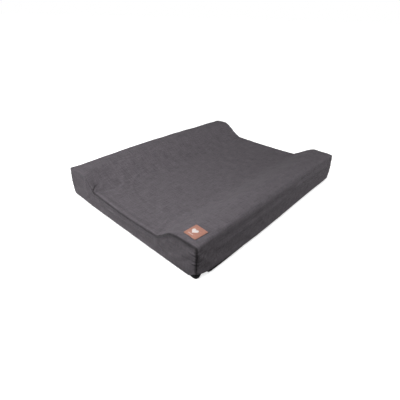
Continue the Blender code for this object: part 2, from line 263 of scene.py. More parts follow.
def settle(points):
    # swells, crowns and rounds anything drawn on the plain pad shape, the same way for all layers
    s = padShape
    p = np.array(points, float)
    low = np.clip(1 - p[..., 2] / footRaise["fade"], 0, 1) ** 1.5
    p[..., 2] += footRise(p[..., 0], p[..., 1]) * low
    x, y, z = p[..., 0].copy(), p[..., 1].copy(), p[..., 2].copy()
    right = x > 0
    alongY = 1 - np.clip(np.abs(y) / s["halfLength"], 0, 1) ** 2.2
    alongX = np.clip(np.abs(x) / s["halfWidth"], 0, 1.1)
    onCrest = smooth((np.abs(x) - s["foot"]) / (s["shoulder"] - s["foot"]))
    up = np.clip(z / s["crest"], 0, 1)
    crown = np.where(right, s["crown"][1], s["crown"][0])
    bulge = np.where(right, s["bulge"][1], s["bulge"][0])
    p[..., 2] += crown * alongY * onCrest * up**1.5
    # the outer top edges grow sharp where the end seams hold them
    off = np.stack([np.abs(x) - s["halfWidth"] + s["edge"], z - s["crest"] + s["edge"]])
    radius = np.maximum(np.hypot(*off), 1e-9)
    inArc = (off[0] > 0) & (off[1] > 0)
    stretch = np.where(inArc, radius / np.maximum(off.max(0), 1e-9) - 1, 0)
    stretch = stretch * s["sharpEnds"] * bell((s["halfLength"] - np.abs(y)) / s["sharpReach"])
    p[..., 0] += np.sign(x) * np.where(inArc, off[0], 0) * stretch
    p[..., 2] += np.where(inArc, off[1], 0) * stretch
    for x0, y0, spreadX, spreadY, height in padDimples:
        p[..., 2] += height * up * np.exp(-(((x - x0) / spreadX) ** 2) - ((y - y0) / spreadY) ** 2)
    # each bolster's slope is steep where the end seams pull on it and gentler between them
    front = bell((y + s["halfLength"]) / bolsterShift["frontReach"])
    back = bell((s["halfLength"] - y) / bolsterShift["backReach"]) * (1 - front)
    knots = np.array([0, 0.045, s["foot"], s["shoulder"], s["halfWidth"] - 0.004, 0.4])
    for side, name in ((right, "right"), (~right, "left")):
        moves = [np.interp(np.abs(x), knots, [0, 0, foot, shoulder, 0, 0]) for foot, shoulder in bolsterShift[name]]
        move = moves[0] * front + moves[2] * back + moves[1] * (1 - front - back)
        p[..., 0] += np.where(side, np.sign(x) * move, 0)
    # sides swell a little below the middle
    swell = np.sin(np.pi * np.clip(z / s["crest"], 0, 1) ** 0.8)
    p[..., 0] += np.sign(x) * bulge * alongY * swell * alongX**6
    fromFront = y + s["halfLength"]
    fromCorner = np.where(right, 2 * s["halfLength"] - fromFront, fromFront)
    share = np.where(right, s["backBulge"], 1.0) * bell(fromCorner / s["cornerBulgeReach"])
    p[..., 0] += np.sign(x) * s["cornerBulge"] * share * swell * alongX**6
    first, full, last = s["lowSpan"]
    low = smooth(fromFront / first) * (1 - smooth((fromFront - full) / (last - full))) * smooth(1 - z / s["lowHeight"])
    p[..., 0] += np.where(right, s["lowBulge"] * low * alongX**6, 0)
    # rounded foot, more so towards the corners
    nearY = smooth((np.abs(y) - s["halfLength"] + s["cornerReach"]) / s["cornerReach"])
    nearX = smooth((np.abs(x) - s["halfWidth"] + s["cornerReach"]) / s["cornerReach"])
    for axis, near, span, at in ((0, nearY, s["halfWidth"], x), (1, nearX, s["halfLength"], y)):
        full = np.where(right & (y < 0), s["frontRightRadius"], s["cornerRadius"])
        radius = between(s["footRadius"], full, near)
        under = np.clip(radius - z, 0, None)
        tuck = radius - np.sqrt(np.maximum(radius**2 - under**2, 0))
        p[..., axis] -= np.sign(at) * tuck * np.clip(np.abs(at) / span, 0, 1) ** 3
    return p


def makeWeaveGroup():
    # plain weave from a map in metres: height of the threads, and how deep the gaps lie
    tree, given, result = newGroup(
        "plainWeave", "ShaderNodeTree",
        {"Map": ("Vector", None), "Pitch": ("Float", 0.0006), "Wobble": ("Float", 0.15)},
        {"Height": ("Float", None), "Gap": ("Float", None)})
    stray = addNode(tree, "ShaderNodeTexNoise", {"Vector": given["Map"], "Scale": 160.0, "Detail": 2.0})
    centred = {0: stray.outputs["Color"], 1: (0.5, 0.5, 0.5)}
    offset = addNode(tree, "ShaderNodeVectorMath", centred, operation="SUBTRACT")
    amount = maths(tree, "MULTIPLY", given["Wobble"], given["Pitch"])
    shifted = addNode(tree, "ShaderNodeVectorMath", {0: offset.outputs[0], "Scale": amount}, operation="SCALE")
    moved = addNode(tree, "ShaderNodeVectorMath", {0: given["Map"], 1: shifted.outputs[0]}, operation="ADD")
    parts = addNode(tree, "ShaderNodeSeparateXYZ", {0: moved.outputs[0]})
    u, v = (maths(tree, "DIVIDE", parts.outputs[k], given["Pitch"]) for k in (0, 1))
    parity = maths(tree, "ADD", maths(tree, "FLOOR", u), maths(tree, "FLOOR", v))
    parity = maths(tree, "ROUND", maths(tree, "PINGPONG", parity, 1.0))
    overU, overV = (maths(tree, "SINE", maths(tree, "MULTIPLY", maths(tree, "FRACT", t), math.pi)) for t in (u, v))
    warp = maths(tree, "MULTIPLY", overU, maths(tree, "POWER", overV, 0.45))
    weft = maths(tree, "MULTIPLY", overV, maths(tree, "POWER", overU, 0.45))
    height = addNode(tree, "ShaderNodeMix", {0: parity, 2: warp, 3: weft}, data_type="FLOAT").outputs[0]
    gap = maths(tree, "SUBTRACT", 1.0, maths(tree, "POWER", maths(tree, "MULTIPLY", overU, overV), 0.5), clamp=True)
    tree.links.new(height, result["Height"])
    tree.links.new(gap, result["Gap"])
    return tree


def makeMottleGroup():
    # uneven dye and thick and thin yarns, as a value round 1
    tree, given, result = newGroup(
        "unevenYarn", "ShaderNodeTree",
        {"Map": ("Vector", None), "Cloud": ("Float", 60.0), "Fleck": ("Float", 260.0), "Slub": ("Float", 500.0),
         "Amount": ("Float", 0.2)},
        {"Value": ("Float", None)})

    def spots(place, scale, **looks):  # noise round 0
        texture = addNode(tree, "ShaderNodeTexNoise", {"Vector": place, "Scale": given[scale], **looks})
        return maths(tree, "SUBTRACT", texture.outputs["Fac"], 0.5)

    cloud = spots(given["Map"], "Cloud", Detail=3.0, Roughness=0.6)
    total = maths(tree, "ADD", cloud, spots(given["Map"], "Fleck", Detail=1.5, Roughness=0.6))
    for stretch in ((1.0, 0.09, 1.0), (0.09, 1.0, 1.0)):
        drawn = addNode(tree, "ShaderNodeVectorMath", {0: given["Map"], 1: stretch}, operation="MULTIPLY")
        total = maths(tree, "ADD", total, spots(drawn.outputs[0], "Slub", Detail=1.0))
    value = maths(tree, "ADD", 1.0, maths(tree, "MULTIPLY", total, given["Amount"]))
    tree.links.new(value, result["Value"])
    return tree


def makeGrainGroup():
    # fine pebbled grain for leather, film and foam
    tree, given, result = newGroup(
        "fineGrain", "ShaderNodeTree",
        {"Map": ("Vector", None), "Size": ("Float", 0.0008)},
        {"Height": ("Float", None), "Crease": ("Float", None)})
    scale = maths(tree, "DIVIDE", 1.0, given["Size"])
    cells = addNode(tree, "ShaderNodeTexVoronoi", {"Vector": given["Map"], "Scale": scale}, feature="DISTANCE_TO_EDGE")
    soft = addNode(tree, "ShaderNodeTexNoise", {"Vector": given["Map"], "Scale": scale, "Detail": 3.0})
    edge = maths(tree, "MULTIPLY", cells.outputs["Distance"], 3.0, clamp=True)
    height = maths(tree, "ADD", maths(tree, "MULTIPLY", edge, 0.6), maths(tree, "MULTIPLY", soft.outputs["Fac"], 0.4))
    tree.links.new(height, result["Height"])
    tree.links.new(maths(tree, "SUBTRACT", 1.0, edge, clamp=True), result["Crease"])
    return tree


weaveGroup, mottleGroup, grainGroup = makeWeaveGroup(), makeMottleGroup(), makeGrainGroup()
print("shader groups ready")


def startMaterial(name, look):
    material = bpy.data.materials.new(name)
    material.use_nodes = True
    tree = material.node_tree
    shader = tree.nodes["Principled BSDF"]
    for socket in shader.inputs:  # the looks that are the same all over, under the shader's own names
        if socket.name in look:
            socket.default_value = look[socket.name]
    return material, tree, shader


def tinted(tree, colour, *factors):
    total = factors[0]
    for factor in factors[1:]:
        total = maths(tree, "MULTIPLY", total, factor)
    plain = addNode(tree, "ShaderNodeRGB")
    plain.outputs[0].default_value = (*colour, 1)
    return addNode(tree, "ShaderNodeVectorMath", {0: plain.outputs[0], "Scale": total}, operation="SCALE").outputs[0]


def yarnValue(tree, place, look):
    sizes = {"Map": place, "Cloud": look["cloud"], "Fleck": look.get("fleck", 260.0), "Slub": look["slub"]}
    return addNode(tree, "ShaderNodeGroup", {**sizes, "Amount": look["mottle"]}, node_tree=mottleGroup).outputs["Value"]


def finishMaterial(tree, shader, look, colour, rough, height, depth):
    # rough is what is added to the look's own roughness, less 0.05
    tree.links.new(colour, shader.inputs["Base Color"])
    tree.links.new(maths(tree, "ADD", look["Roughness"] - 0.05, rough), shader.inputs["Roughness"])
    bump = addNode(tree, "ShaderNodeBump", {"Strength": look["bump"], "Distance": depth, "Height": height})
    tree.links.new(bump.outputs[0], shader.inputs["Normal"])


def clothMaterial(name, look):
    # woven cloth on a map in metres, with seams a little rubbed and given a painted highlight where the wear value is
    # high, and painted shade where the shade value is high
    material, tree, shader = startMaterial(name, look)
    place = addNode(tree, "ShaderNodeUVMap", uv_map="cloth").outputs[0]
    sizes = {"Map": place, "Pitch": look["pitch"], "Wobble": 0.25}
    weave = addNode(tree, "ShaderNodeGroup", sizes, node_tree=weaveGroup).outputs
    yarn = yarnValue(tree, place, look)
    gap = maths(tree, "SUBTRACT", 1.0, maths(tree, "MULTIPLY", weave["Gap"], look["gap"]))
    wearAndSheen, shade = (addNode(tree, "ShaderNodeAttribute", attribute_name=k).outputs["Fac"] for k in ("wearAndSheen", "shade"))
    # the wear value lightens the colour, as wear and as a painted highlight on rolled seam edges
    rub = maths(tree, "ADD", 1.0, maths(tree, "MULTIPLY", wearAndSheen, look["rub"]))
    # the shade value darkens it, as painted shade in seams, folds and the corner ticks
    rub = maths(tree, "MULTIPLY", rub, maths(tree, "SUBTRACT", 1.0, maths(tree, "MULTIPLY", shade, 0.9)))
    height = maths(tree, "ADD", weave["Height"], maths(tree, "MULTIPLY", yarn, 2.0))
    rough = maths(tree, "MULTIPLY", weave["Height"], 0.1)
    finishMaterial(tree, shader, look, tinted(tree, look["colour"], yarn, gap, rub), rough, height, look["pitch"] * 0.5)
    return material


def grainMaterial(name, look):
    # a solid or coated surface with a fine grain, on object coordinates
    material, tree, shader = startMaterial(name, look)
    place = addNode(tree, "ShaderNodeTexCoord").outputs["Object"]
    grain = addNode(tree, "ShaderNodeGroup", {"Map": place, "Size": look["grain"]}, node_tree=grainGroup).outputs
    yarn = yarnValue(tree, place, look)
    crease = maths(tree, "SUBTRACT", 1.0, maths(tree, "MULTIPLY", grain["Crease"], look["crease"]))
    colour, rough = tinted(tree, look["colour"], yarn, crease), maths(tree, "MULTIPLY", yarn, 0.05)
    finishMaterial(tree, shader, look, colour, rough, grain["Height"], look["grain"] * 0.4)
    return material


coverCotton = clothMaterial("washedCharcoalCotton", {
    "colour": (0.113, 0.1005, 0.113), "pitch": 0.00062, "cloud": 45.0, "fleck": 240.0, "slub": 380.0, "mottle": 0.52,
    "gap": 0.3, "rub": 0.10, "bump": 0.45, "Roughness": 0.92, "Sheen Weight": 0.06, "Sheen Roughness": 0.5,
    "Specular IOR Level": 0.25})
hemCotton = clothMaterial("blackHemTape", {
    "colour": (0.010, 0.010, 0.011), "pitch": 0.0005, "cloud": 90.0, "slub": 500.0, "mottle": 0.3, "gap": 0.3,
    "rub": 0.3, "bump": 0.5, "Roughness": 0.85, "Sheen Weight": 0.05, "Specular IOR Level": 0.25})
labelSatin = clothMaterial("whiteSatinTape", {
    "colour": (0.82, 0.82, 0.80), "pitch": 0.0003, "cloud": 90.0, "slub": 800.0, "mottle": 0.05, "gap": 0.12,
    "rub": 0.0, "bump": 0.3, "Roughness": 0.45, "Sheen Weight": 0.1, "Specular IOR Level": 0.5})
elasticWeb = clothMaterial("ribbedElastic", {
    "colour": (0.72, 0.71, 0.68), "pitch": 0.0009, "cloud": 90.0, "slub": 800.0, "mottle": 0.08, "gap": 0.3,
    "rub": 0.0, "bump": 0.6, "Roughness": 0.8, "Specular IOR Level": 0.3})
patchLeather = grainMaterial("tanLeather", {
    "colour": (0.407, 0.195, 0.145), "grain": 0.0009, "cloud": 180.0, "slub": 600.0, "mottle": 0.3, "crease": 0.18,
    "bump": 0.35, "Roughness": 0.55, "Specular IOR Level": 0.4})
skinFilm = grainMaterial("wipeCleanFilm", {
    "colour": (0.78, 0.78, 0.765), "grain": 0.0007, "cloud": 14.0, "slub": 40.0, "mottle": 0.04, "crease": 0.03,
    "bump": 0.12, "Roughness": 0.38, "Specular IOR Level": 0.5, "Coat Weight": 0.15, "Coat Roughness": 0.25})
openFoam = grainMaterial("creamFoam", {
    "colour": (0.80, 0.73, 0.50), "grain": 0.0011, "cloud": 30.0, "slub": 200.0, "mottle": 0.12, "crease": 0.35,
    "bump": 0.8, "Roughness": 0.95, "Specular IOR Level": 0.2})
fleece = grainMaterial("whiteWadding", {
    "colour": (0.84, 0.84, 0.82), "grain": 0.0016, "cloud": 50.0, "slub": 320.0, "mottle": 0.14, "crease": 0.10,
    "bump": 0.7, "Roughness": 0.95, "Sheen Weight": 0.2, "Specular IOR Level": 0.2})
ventNickel = grainMaterial("nickelPlate", {
    "colour": (0.62, 0.60, 0.57), "grain": 0.0009, "cloud": 300.0, "slub": 900.0, "mottle": 0.08, "crease": 0.05,
    "bump": 0.05, "Roughness": 0.28, "Metallic": 1.0})
greyThread = grainMaterial("greyThread", {
    "colour": (0.070, 0.064, 0.070), "grain": 0.0003, "cloud": 400.0, "slub": 2500.0, "mottle": 0.5, "crease": 0.3,
    "bump": 0.6, "Roughness": 0.75, "Sheen Weight": 0.2, "Specular IOR Level": 0.35})
tanThread = grainMaterial("tanThread", {
    "colour": (0.42, 0.20, 0.13), "grain": 0.0003, "cloud": 400.0, "slub": 2500.0, "mottle": 0.4, "crease": 0.3,
    "bump": 0.6, "Roughness": 0.7, "Sheen Weight": 0.2, "Specular IOR Level": 0.35})
motifPaint = grainMaterial("whiteInk", {
    "colour": (0.66, 0.60, 0.58), "grain": 0.0006, "cloud": 300.0, "slub": 700.0, "mottle": 0.10, "crease": 0.10,
    "bump": 0.2, "Roughness": 0.6, "Specular IOR Level": 0.4})
print("materials ready")

coverCut = {
    "cloth": 0.0012,
    "cell": 0.0044,
    "fineCell": 0.0021,
    "wallEnd": 0.0020,  # height at which the walls turn under
    "topSeamShade": 0.95,
    "cornerSeamShade": 0.62,
    "otherTicks": 0.30,  # folds at the other corners, as a share of those at the front right one
    "shadeReach": {"top": 0.0031, "end": 0.0050, "corner": 0.0019},  # how far each seam's shadow goes
    "wearAndSheenAt": 0.0036,  # how far from a seam the cloth is drawn lighter, as wear and as a painted highlight on the crest of the rolled edge, and how wide
    "wearAndSheenWidth": 0.0016,
    "pucker": 0.0009,  # depth of the gathers by the end seams, how far they reach, and their two lengths
    "puckerReach": 0.013,
    "puckerSizes": (0.011, 0.0048),
}
# across a seam: distance from it and height over the plain surface, for the rolled edge of each panel
seamRoll = (
    (0.00012, -0.0042), (0.00030, -0.0030), (0.00065, -0.0019), (0.0011, -0.0010), (0.0017, -0.0003),
    (0.0025, 0.0003), (0.0036, 0.0007), (0.0050, 0.0008), (0.0070, 0.0006), (0.0095, 0.0003), (0.0125, 0.0001),
)


def spaced(start, end, cell, rollStart=True, rollEnd=True):
    # positions along one direction of a panel, closer together at a rolled seam, and the roll's heights
    low = [(start + e, h) for e, h in seamRoll] if rollStart else [(start, 0.0)]
    high = [(end - e, h) for e, h in seamRoll] if rollEnd else [(end, 0.0)]
    first, last = low[-1][0], high[-1][0]
    count = max(2, round((last - first) / cell))
    middle = [(first + (last - first) * k / count, 0.0) for k in range(1, count)]
    both = low + middle + high[::-1]
    return np.array([a for a, h in both]), np.array([h for a, h in both])


def waves(grid, size, seed):
    # soft unevenness over a grid of points
    start = Vector((seed, seed * 0.7, 0))
    heights = [noise.fractal(Vector(p) / size + start, 0.6, 2.0, 2) for p in grid.reshape(-1, 3)]
    return np.reshape(heights, grid.shape[:2])


def pulled(line, y):
    # a section line pulled along the pad, as a grid
    return standing(np.repeat(line[:, None], np.shape(y)[-1], 1), y)


def surfaceNormals(grid):
    n = np.cross(np.gradient(grid, axis=1), np.gradient(grid, axis=0))
    return n / np.maximum(np.linalg.norm(n, axis=2, keepdims=True), 1e-12)


lineAt, linePoints = sectionLine(0.0, coverCut["wallEnd"])
lineLength = float(lineAt[-1])
crestRise = padShape["crest"] - padShape["edge"] * 0.3
turnAt = float(lineAt[np.argmax(linePoints[:, 1] >= crestRise)])  # where a wall becomes the top


def endPatch(top, wall, across, up):
    # a flat end, spread between the section's top, its two walls and a straight foot
    c, v = across[:, None, None], up[None, :, None]
    foot = np.stack([wall[0, 0] * (1 - 2 * across), np.full(len(across), wall[0, 1])], -1)
    mirrored = wall * [-1, 1]
    patch = (1 - v) * foot[:, None] + v * top[:, None] + (1 - c) * wall[None] + c * mirrored[None]
    return patch - ((1 - c) * (1 - v) * wall[0] + c * (1 - v) * mirrored[0] + (1 - c) * v * top[0] + c * v * top[-1])


def shellGrids(inset, bottom, cell, halfLength):
    # the section pulled along the pad and closed by two ends, as three grids with matching edges
    at, line = sectionLine(inset, bottom)
    turn = at[np.argmax(line[:, 1] >= line[:, 1].max() - 0.0045)]
    walls = max(4, round(turn / cell))
    tops = max(8, round((at[-1] - 2 * turn) / cell))
    rise = np.linspace(0, turn, walls + 1)
    s = np.concatenate([rise, np.linspace(turn, at[-1] - turn, tops + 1)[1:], at[-1] - rise[::-1][1:]])
    y = np.linspace(-halfLength, halfLength, round(2 * halfLength / cell))
    line = pickAlong(s, at, line)
    across, up = np.linspace(0, 1, tops + 1), np.linspace(0, 1, walls + 1)
    patch = endPatch(line[walls : walls + tops + 1], line[: walls + 1], across, up)
    front, back = standing(patch, -halfLength), standing(patch, halfLength)
    return {"s": s, "y": y, "across": across, "up": up, "top": pulled(line, y), "front": front, "back": back}


# the cover settles on the pad, by cloth simulation of a coarser copy
drape = {
    "cell": 0.0100,
    "frames": 24,
    "spare": 0.0035,  # how much larger the cloth is than the pad
    "cornerSpare": 0.016,
    "cap": 0.0045,  # furthest that a point may move
    "padInset": 0.0022,
    "padBottom": 0.001,
    "gap": 0.0012,
    "cornerReach": 0.07,
    "toes": ((-0.145, 0.06), (0.128, 0.05)),  # where the bolsters' feet meet the front seam, and how far each reaches
    "toeSpread": 0.035,
    "toeShare": 0.35,
}
clothFeel = {
    "quality": 6, "mass": 0.25, "tension_stiffness": 12, "compression_stiffness": 12, "shear_stiffness": 4,
    "bending_stiffness": 0.08, "tension_damping": 8, "compression_damping": 8, "shear_damping": 8, "air_damping": 4,
    "vertex_group_mass": "held", "vertex_group_shrink": "spare",
}


def shellFaces(grids):
    # one welded mesh of the three grids, and each grid's own vertex numbers in it
    names = ("top", "front", "back")
    flat = [settle(grids[name]) for name in names]
    every = np.concatenate([g.reshape(-1, 3) for g in flat])
    key, first, number = np.unique(np.round(every, 6), axis=0, return_index=True, return_inverse=True)
    number = number.ravel()
    faces, numbers, start = [], {}, 0
    for name, g in zip(names, flat):
        count = g.shape[0] * g.shape[1]
        own = number[start : start + count]
        numbers[name] = own.reshape(g.shape[:2])
        faces.append(own[gridFaces(*g.shape[:2], flip=name == "back")])
        start += count
    return every[first], np.concatenate(faces), numbers


def cornerNearness(points, reach):
    away = np.hypot(padShape["halfWidth"] - np.abs(points[:, 0]), padShape["halfLength"] - np.abs(points[:, 1]))
    return bell(away / reach)


def drapeCover():
    cell, halfLength = drape["cell"], padShape["halfLength"]
    grids = shellGrids(0.0, coverCut["wallEnd"], cell, halfLength)
    points, faces, numbers = shellFaces(grids)
    pad = shellGrids(drape["padInset"], drape["padBottom"], cell, halfLength - drape["padInset"])
    body = makePiece("drapeBody", *shellFaces(pad)[:2], coverCotton)
    body.modifiers.new("solid", "COLLISION")
    body.collision.thickness_outer = drape["gap"]
    body.collision.cloth_friction = 12
    cloth = makePiece("drapeCloth", points, faces, coverCotton)
    x, y, z = points.T
    held = cloth.vertex_groups.new(name="held")
    footRow = z < coverCut["wallEnd"] + 0.0005 + footRise(x, y)
    held.add([int(i) for i in np.nonzero(footRow)[0]], 1.0, "REPLACE")
    share = cornerNearness(points, drape["cornerReach"])
    for middle, reach in drape["toes"]:
        toe = np.exp(-(((x - middle) / drape["toeSpread"]) ** 2) - ((y + halfLength) / reach) ** 2)
        share = share + drape["toeShare"] * toe
    spare = cloth.vertex_groups.new(name="spare")
    for k, value in enumerate(np.clip(share, 0, 1)):
        spare.add([k], float(value), "REPLACE")
    settling = cloth.modifiers.new("drape", "CLOTH")
    for name, value in clothFeel.items():
        setattr(settling.settings, name, value)
    settling.settings.shrink_min, settling.settings.shrink_max = -drape["spare"], -drape["cornerSpare"]
    settling.collision_settings.distance_min = drape["gap"]
    settling.collision_settings.collision_quality = 3
    settling.point_cache.frame_start, settling.point_cache.frame_end = 1, drape["frames"]
    for frameNumber in range(1, drape["frames"] + 1):
        scene.frame_set(frameNumber)
    done = cloth.evaluated_get(bpy.context.evaluated_depsgraph_get())
    moved = np.zeros(len(points) * 3)
    done.data.vertices.foreach_get("co", moved)
    shift = moved.reshape(-1, 3) - points
    size = np.linalg.norm(shift, axis=1, keepdims=True)
    print(f"drape moved the cloth by {size.mean() * 1000:.2f} mm on average and {size.max() * 1000:.2f} mm at most")
    shift *= drape["cap"] * np.tanh(size / drape["cap"]) / np.maximum(size, 1e-9)
    scene.frame_set(1)
    for piece in (body, cloth):
        bpy.data.objects.remove(piece)
    return grids, {name: shift[n] for name, n in numbers.items()}


def blendWeights(at, knots):
    # smooth interpolation through the knots, as one row of weights for each position
    at, knots = np.asarray(at, float).ravel(), np.asarray(knots, float)
    place = np.interp(at, knots, np.arange(len(knots)))
    cell = np.minimum(place.astype(int), len(knots) - 2)
    t = place - cell
    weights = np.zeros((len(at), len(knots)))
    before, first = (-t + 2 * t**2 - t**3) / 2, (2 - 5 * t**2 + 3 * t**3) / 2
    second, after = (t + 4 * t**2 - 3 * t**3) / 2, (-(t**2) + t**3) / 2
    for step, w in zip((-1, 0, 1, 2), (before, first, second, after)):
        np.add.at(weights, (np.arange(len(at)), np.clip(cell + step, 0, len(knots) - 1)), w)
    return weights


drapeGrids, drapeShift = drapeCover()


def onGrid(across, grid, along):
    # values between a grid's points: across and along are weights for its two directions
    return np.einsum("ai,ijk,bj->abk", across, grid, along)


def atPlaces(across, grid, along):
    # the same for single places
    return np.einsum("ni,ijk,nj->nk", across, grid, along)


def shiftAt(s, y):
    # the drape's movement at distances s round the section and places y along the pad
    rows, columns = blendWeights(s, drapeGrids["s"]), blendWeights(y, drapeGrids["y"])
    return atPlaces(rows, drapeShift["top"], columns).reshape(np.shape(s) + (3,))


print("drape ready")

# folds in the top: from and to in plan, half width and depth, and how much shade is painted along it; a hooked one
# starts at a seam
topCreases = (
    {"start": (-0.139, -0.3255), "end": (-0.152, -0.298), "width": 0.0023, "depth": 0.0021, "shade": 0.85,
     "hook": True},
    {"start": (0.129, -0.3250), "end": (0.136, -0.304), "width": 0.0030, "depth": 0.0016, "shade": 0.25,
     "hook": True},
    {"start": (-0.075, -0.236), "end": (0.065, -0.258), "width": 0.0045, "depth": 0.0013},
    {"start": (-0.205, -0.170), "end": (-0.020, 0.020), "width": 0.006, "depth": 0.0015},
    {"start": (-0.190, 0.060), "end": (-0.060, 0.170), "width": 0.007, "depth": 0.0012},
    {"start": (0.112, -0.300), "end": (0.108, -0.200), "width": 0.007, "depth": 0.0014},
)
# curved folds in the top: middle, radius, first and last angle, half width and height
topArcs = (
    {"middle": (-0.040, -0.148), "radius": 0.096, "from": -176, "to": -100, "width": 0.0042, "height": 0.0015},
    {"middle": (-0.221, -0.344), "radius": 0.145, "from": 20, "to": 64, "width": 0.0036, "height": 0.0013},
)
# small folds held by the stitching at the upright corner seams: height, length, slope and depth
cornerTicks = (
    (0.0780, 0.008, -0.05, 0.0012), (0.0690, 0.014, 0.10, 0.0034), (0.0520, 0.014, -0.08, 0.0032),
    (0.0410, 0.009, 0.10, 0.0020), (0.0290, 0.007, -0.10, 0.0016),
)


tickShape = {"width": 0.0021, "ridgeAt": 0.0046, "ridgeWidth": 0.0026, "ridge": 0.5, "shade": 0.9}


def creaseHeight(points, start, end, width, depth, ridge=0.6, shade=0.0, hook=False):
    # a soft fold line with a raised lip along one side, deepest in the middle or, where it is hooked, at its start, and
    # the shade painted along its valley
    a, d = np.array(start), np.array(end) - np.array(start)
    length = np.linalg.norm(d)
    t = ((points[..., :2] - a) @ d) / length**2
    sideways = ((points[..., 0] - a[0]) * d[1] - (points[..., 1] - a[1]) * d[0]) / length
    if hook:
        fade = np.where(t < 0, bell(t / 0.15), bell(np.clip(t - 0.25, 0, None) / 0.5))
    else:
        fade = np.exp(-((np.clip(np.abs(t - 0.5) - 0.25, 0, None) / 0.25) ** 2) * 2)
    valley = bell(sideways / width)
    lip = bell((sideways - 1.8 * width) / (1.2 * width))
    return depth * fade * (ridge * lip - valley), shade * fade * bell(sideways / (0.7 * width))


def arcHeight(points, look):
    away = points[..., :2] - np.array(look["middle"])
    angle = np.degrees(np.arctan2(away[..., 1], away[..., 0]))
    half = (look["to"] - look["from"]) / 2
    fade = smooth(1.4 - np.abs(angle - look["from"] - half) / half)
    across = (np.linalg.norm(away, axis=-1) - look["radius"]) / look["width"]
    return look["height"] * fade * (bell(across) - 0.6 * bell((across + 1.9) / 1.3))


def tickHeight(distance, height, seed):
    # the same folds on both sides of a corner seam, with shade painted along their valleys
    c = tickShape
    lift, shade = np.zeros(np.broadcast(distance, height).shape), 0
    for k, (level, reach, slope, depth) in enumerate(cornerTicks):
        level = level + 0.002 * math.sin(seed * 3.1 + k * 1.7)
        off = height - level - slope * distance
        fade = bell(distance / reach) * (0.75 + 0.25 * math.sin(seed + 2.3 * k))
        valley = bell(off / c["width"])
        ridges = c["ridge"] * bell((np.abs(off) - c["ridgeAt"]) / c["ridgeWidth"])
        lift = lift + depth * fade * (ridges - valley)
        shade = shade + c["shade"] * fade * valley
    return lift, shade


def seamShade(x):
    # the seam's shadow is faint on the left bolster and full from its foot to the front right corner
    return coverCut["topSeamShade"] * (0.30 + 0.52 * smooth((x + 0.152) / 0.02) + 0.18 * smooth((x - 0.12) / 0.05))


def puckerGrid(away, s, seed=3.1):
    # gathers along both end seams, for each distance from a seam and each place along it
    long, short = coverCut["puckerSizes"]
    sizes = ripple(s, long, seed, 0) + 0.5 * ripple(s, short, seed + 7, 0)
    fade = bell(away / coverCut["puckerReach"]) * np.clip(away / 0.002, 0.15, 1)
    return coverCut["pucker"] * fade * sizes[:, None]


def roundRows():
    # distances round the section, closer together on the walls and at the foot of the left bolster
    dense = np.linspace(0, lineLength, 6000)
    x = np.interp(dense, lineAt, linePoints[:, 0])
    fine = (np.minimum(dense, lineLength - dense) < turnAt) | ((x < -0.125) & (x > -0.178))
    rows = np.cumsum(np.where(fine, 1 / coverCut["fineCell"], 1 / coverCut["cell"])) * (dense[1] - dense[0])
    return np.interp(np.linspace(rows[0], rows[-1], round(rows[-1])), rows, dense)


def seamWearAndSheen(away):
    # wear and a painted highlight on the crest of a seam's rolled edge
    return bell((away - coverCut["wearAndSheenAt"]) / coverCut["wearAndSheenWidth"]).ravel()


def coverPanel(name, points, uv, away, shade, flip=False):
    # the wear value is wear and painted highlight, the shade value is painted shade in seams and folds
    values = {"wearAndSheen": seamWearAndSheen(away), "shade": np.clip(shade, 0, 1).ravel()}
    faces = gridFaces(*points.shape[:2], flip=flip)
    piece = makePiece(name, points.reshape(-1, 3), faces, coverCotton, uv.reshape(-1, 2), values)
    return thicken(piece, coverCut["cloth"])


def buildTopPanel():
    s = roundRows()
    y, roll = spaced(-padShape["halfLength"], padShape["halfLength"], coverCut["cell"])
    line = pickAlong(s, lineAt, linePoints)
    rows, columns = blendWeights(s, drapeGrids["s"]), blendWeights(y, drapeGrids["y"])
    flat = settle(pulled(line, y)) + onGrid(rows, drapeShift["top"], columns)
    normals = surfaceNormals(flat)
    away = np.minimum(y + padShape["halfLength"], padShape["halfLength"] - y)[None, :] * np.ones((len(s), 1))
    lift = roll[None, :] + puckerGrid(away, s)
    shade = bell(away / coverCut["shadeReach"]["top"]) * seamShade(line[:, :1])
    for crease in topCreases:
        fold, dark = creaseHeight(flat, **crease)
        lift, shade = lift + fold, shade + dark
    for arc in topArcs:
        lift = lift + arcHeight(flat, arc)
    onWall = 1 - smooth((np.minimum(s, lineLength - s) - turnAt) / 0.012)[:, None]
    for end, fromSeam in ((-1, y + padShape["halfLength"]), (1, padShape["halfLength"] - y)):
        fold, dark = tickHeight(fromSeam[None, :], line[:, 1:], 2.0 + end)
        share = onWall * np.where((line[:, :1] > 0) & (end < 0), 1.0, coverCut["otherTicks"])
        lift, shade = lift + fold * share, shade + dark * share
    atCorner = bell(away / coverCut["shadeReach"]["corner"]) * onWall
    shade = np.maximum(shade, coverCut["cornerSeamShade"] * atCorner)
    lift = lift + 0.0007 * waves(flat, 0.055, 11.0) * smooth(away / 0.02)
    uv = np.stack(np.meshgrid(s, y, indexing="ij"), -1)
    points = flat + normals * lift[..., None]
    piece = coverPanel("coverTopPanel", points, uv, away, shade)
    return piece, {"s": s, "y": y, "points": points, "normals": normals}


# soft folds on the end panels: from and to as distance across and height, half width and depth
endCreases = (
    {"start": (0.128, 0.040), "end": (0.175, 0.012), "width": 0.0045, "depth": 0.0016},
    {"start": (0.136, 0.046), "end": (0.190, 0.030), "width": 0.0035, "depth": 0.0011},
    {"start": (-0.150, 0.044), "end": (-0.205, 0.014), "width": 0.0050, "depth": 0.0012},
    {"start": (0.030, 0.030), "end": (0.110, 0.010), "width": 0.0060, "depth": 0.0008},
)


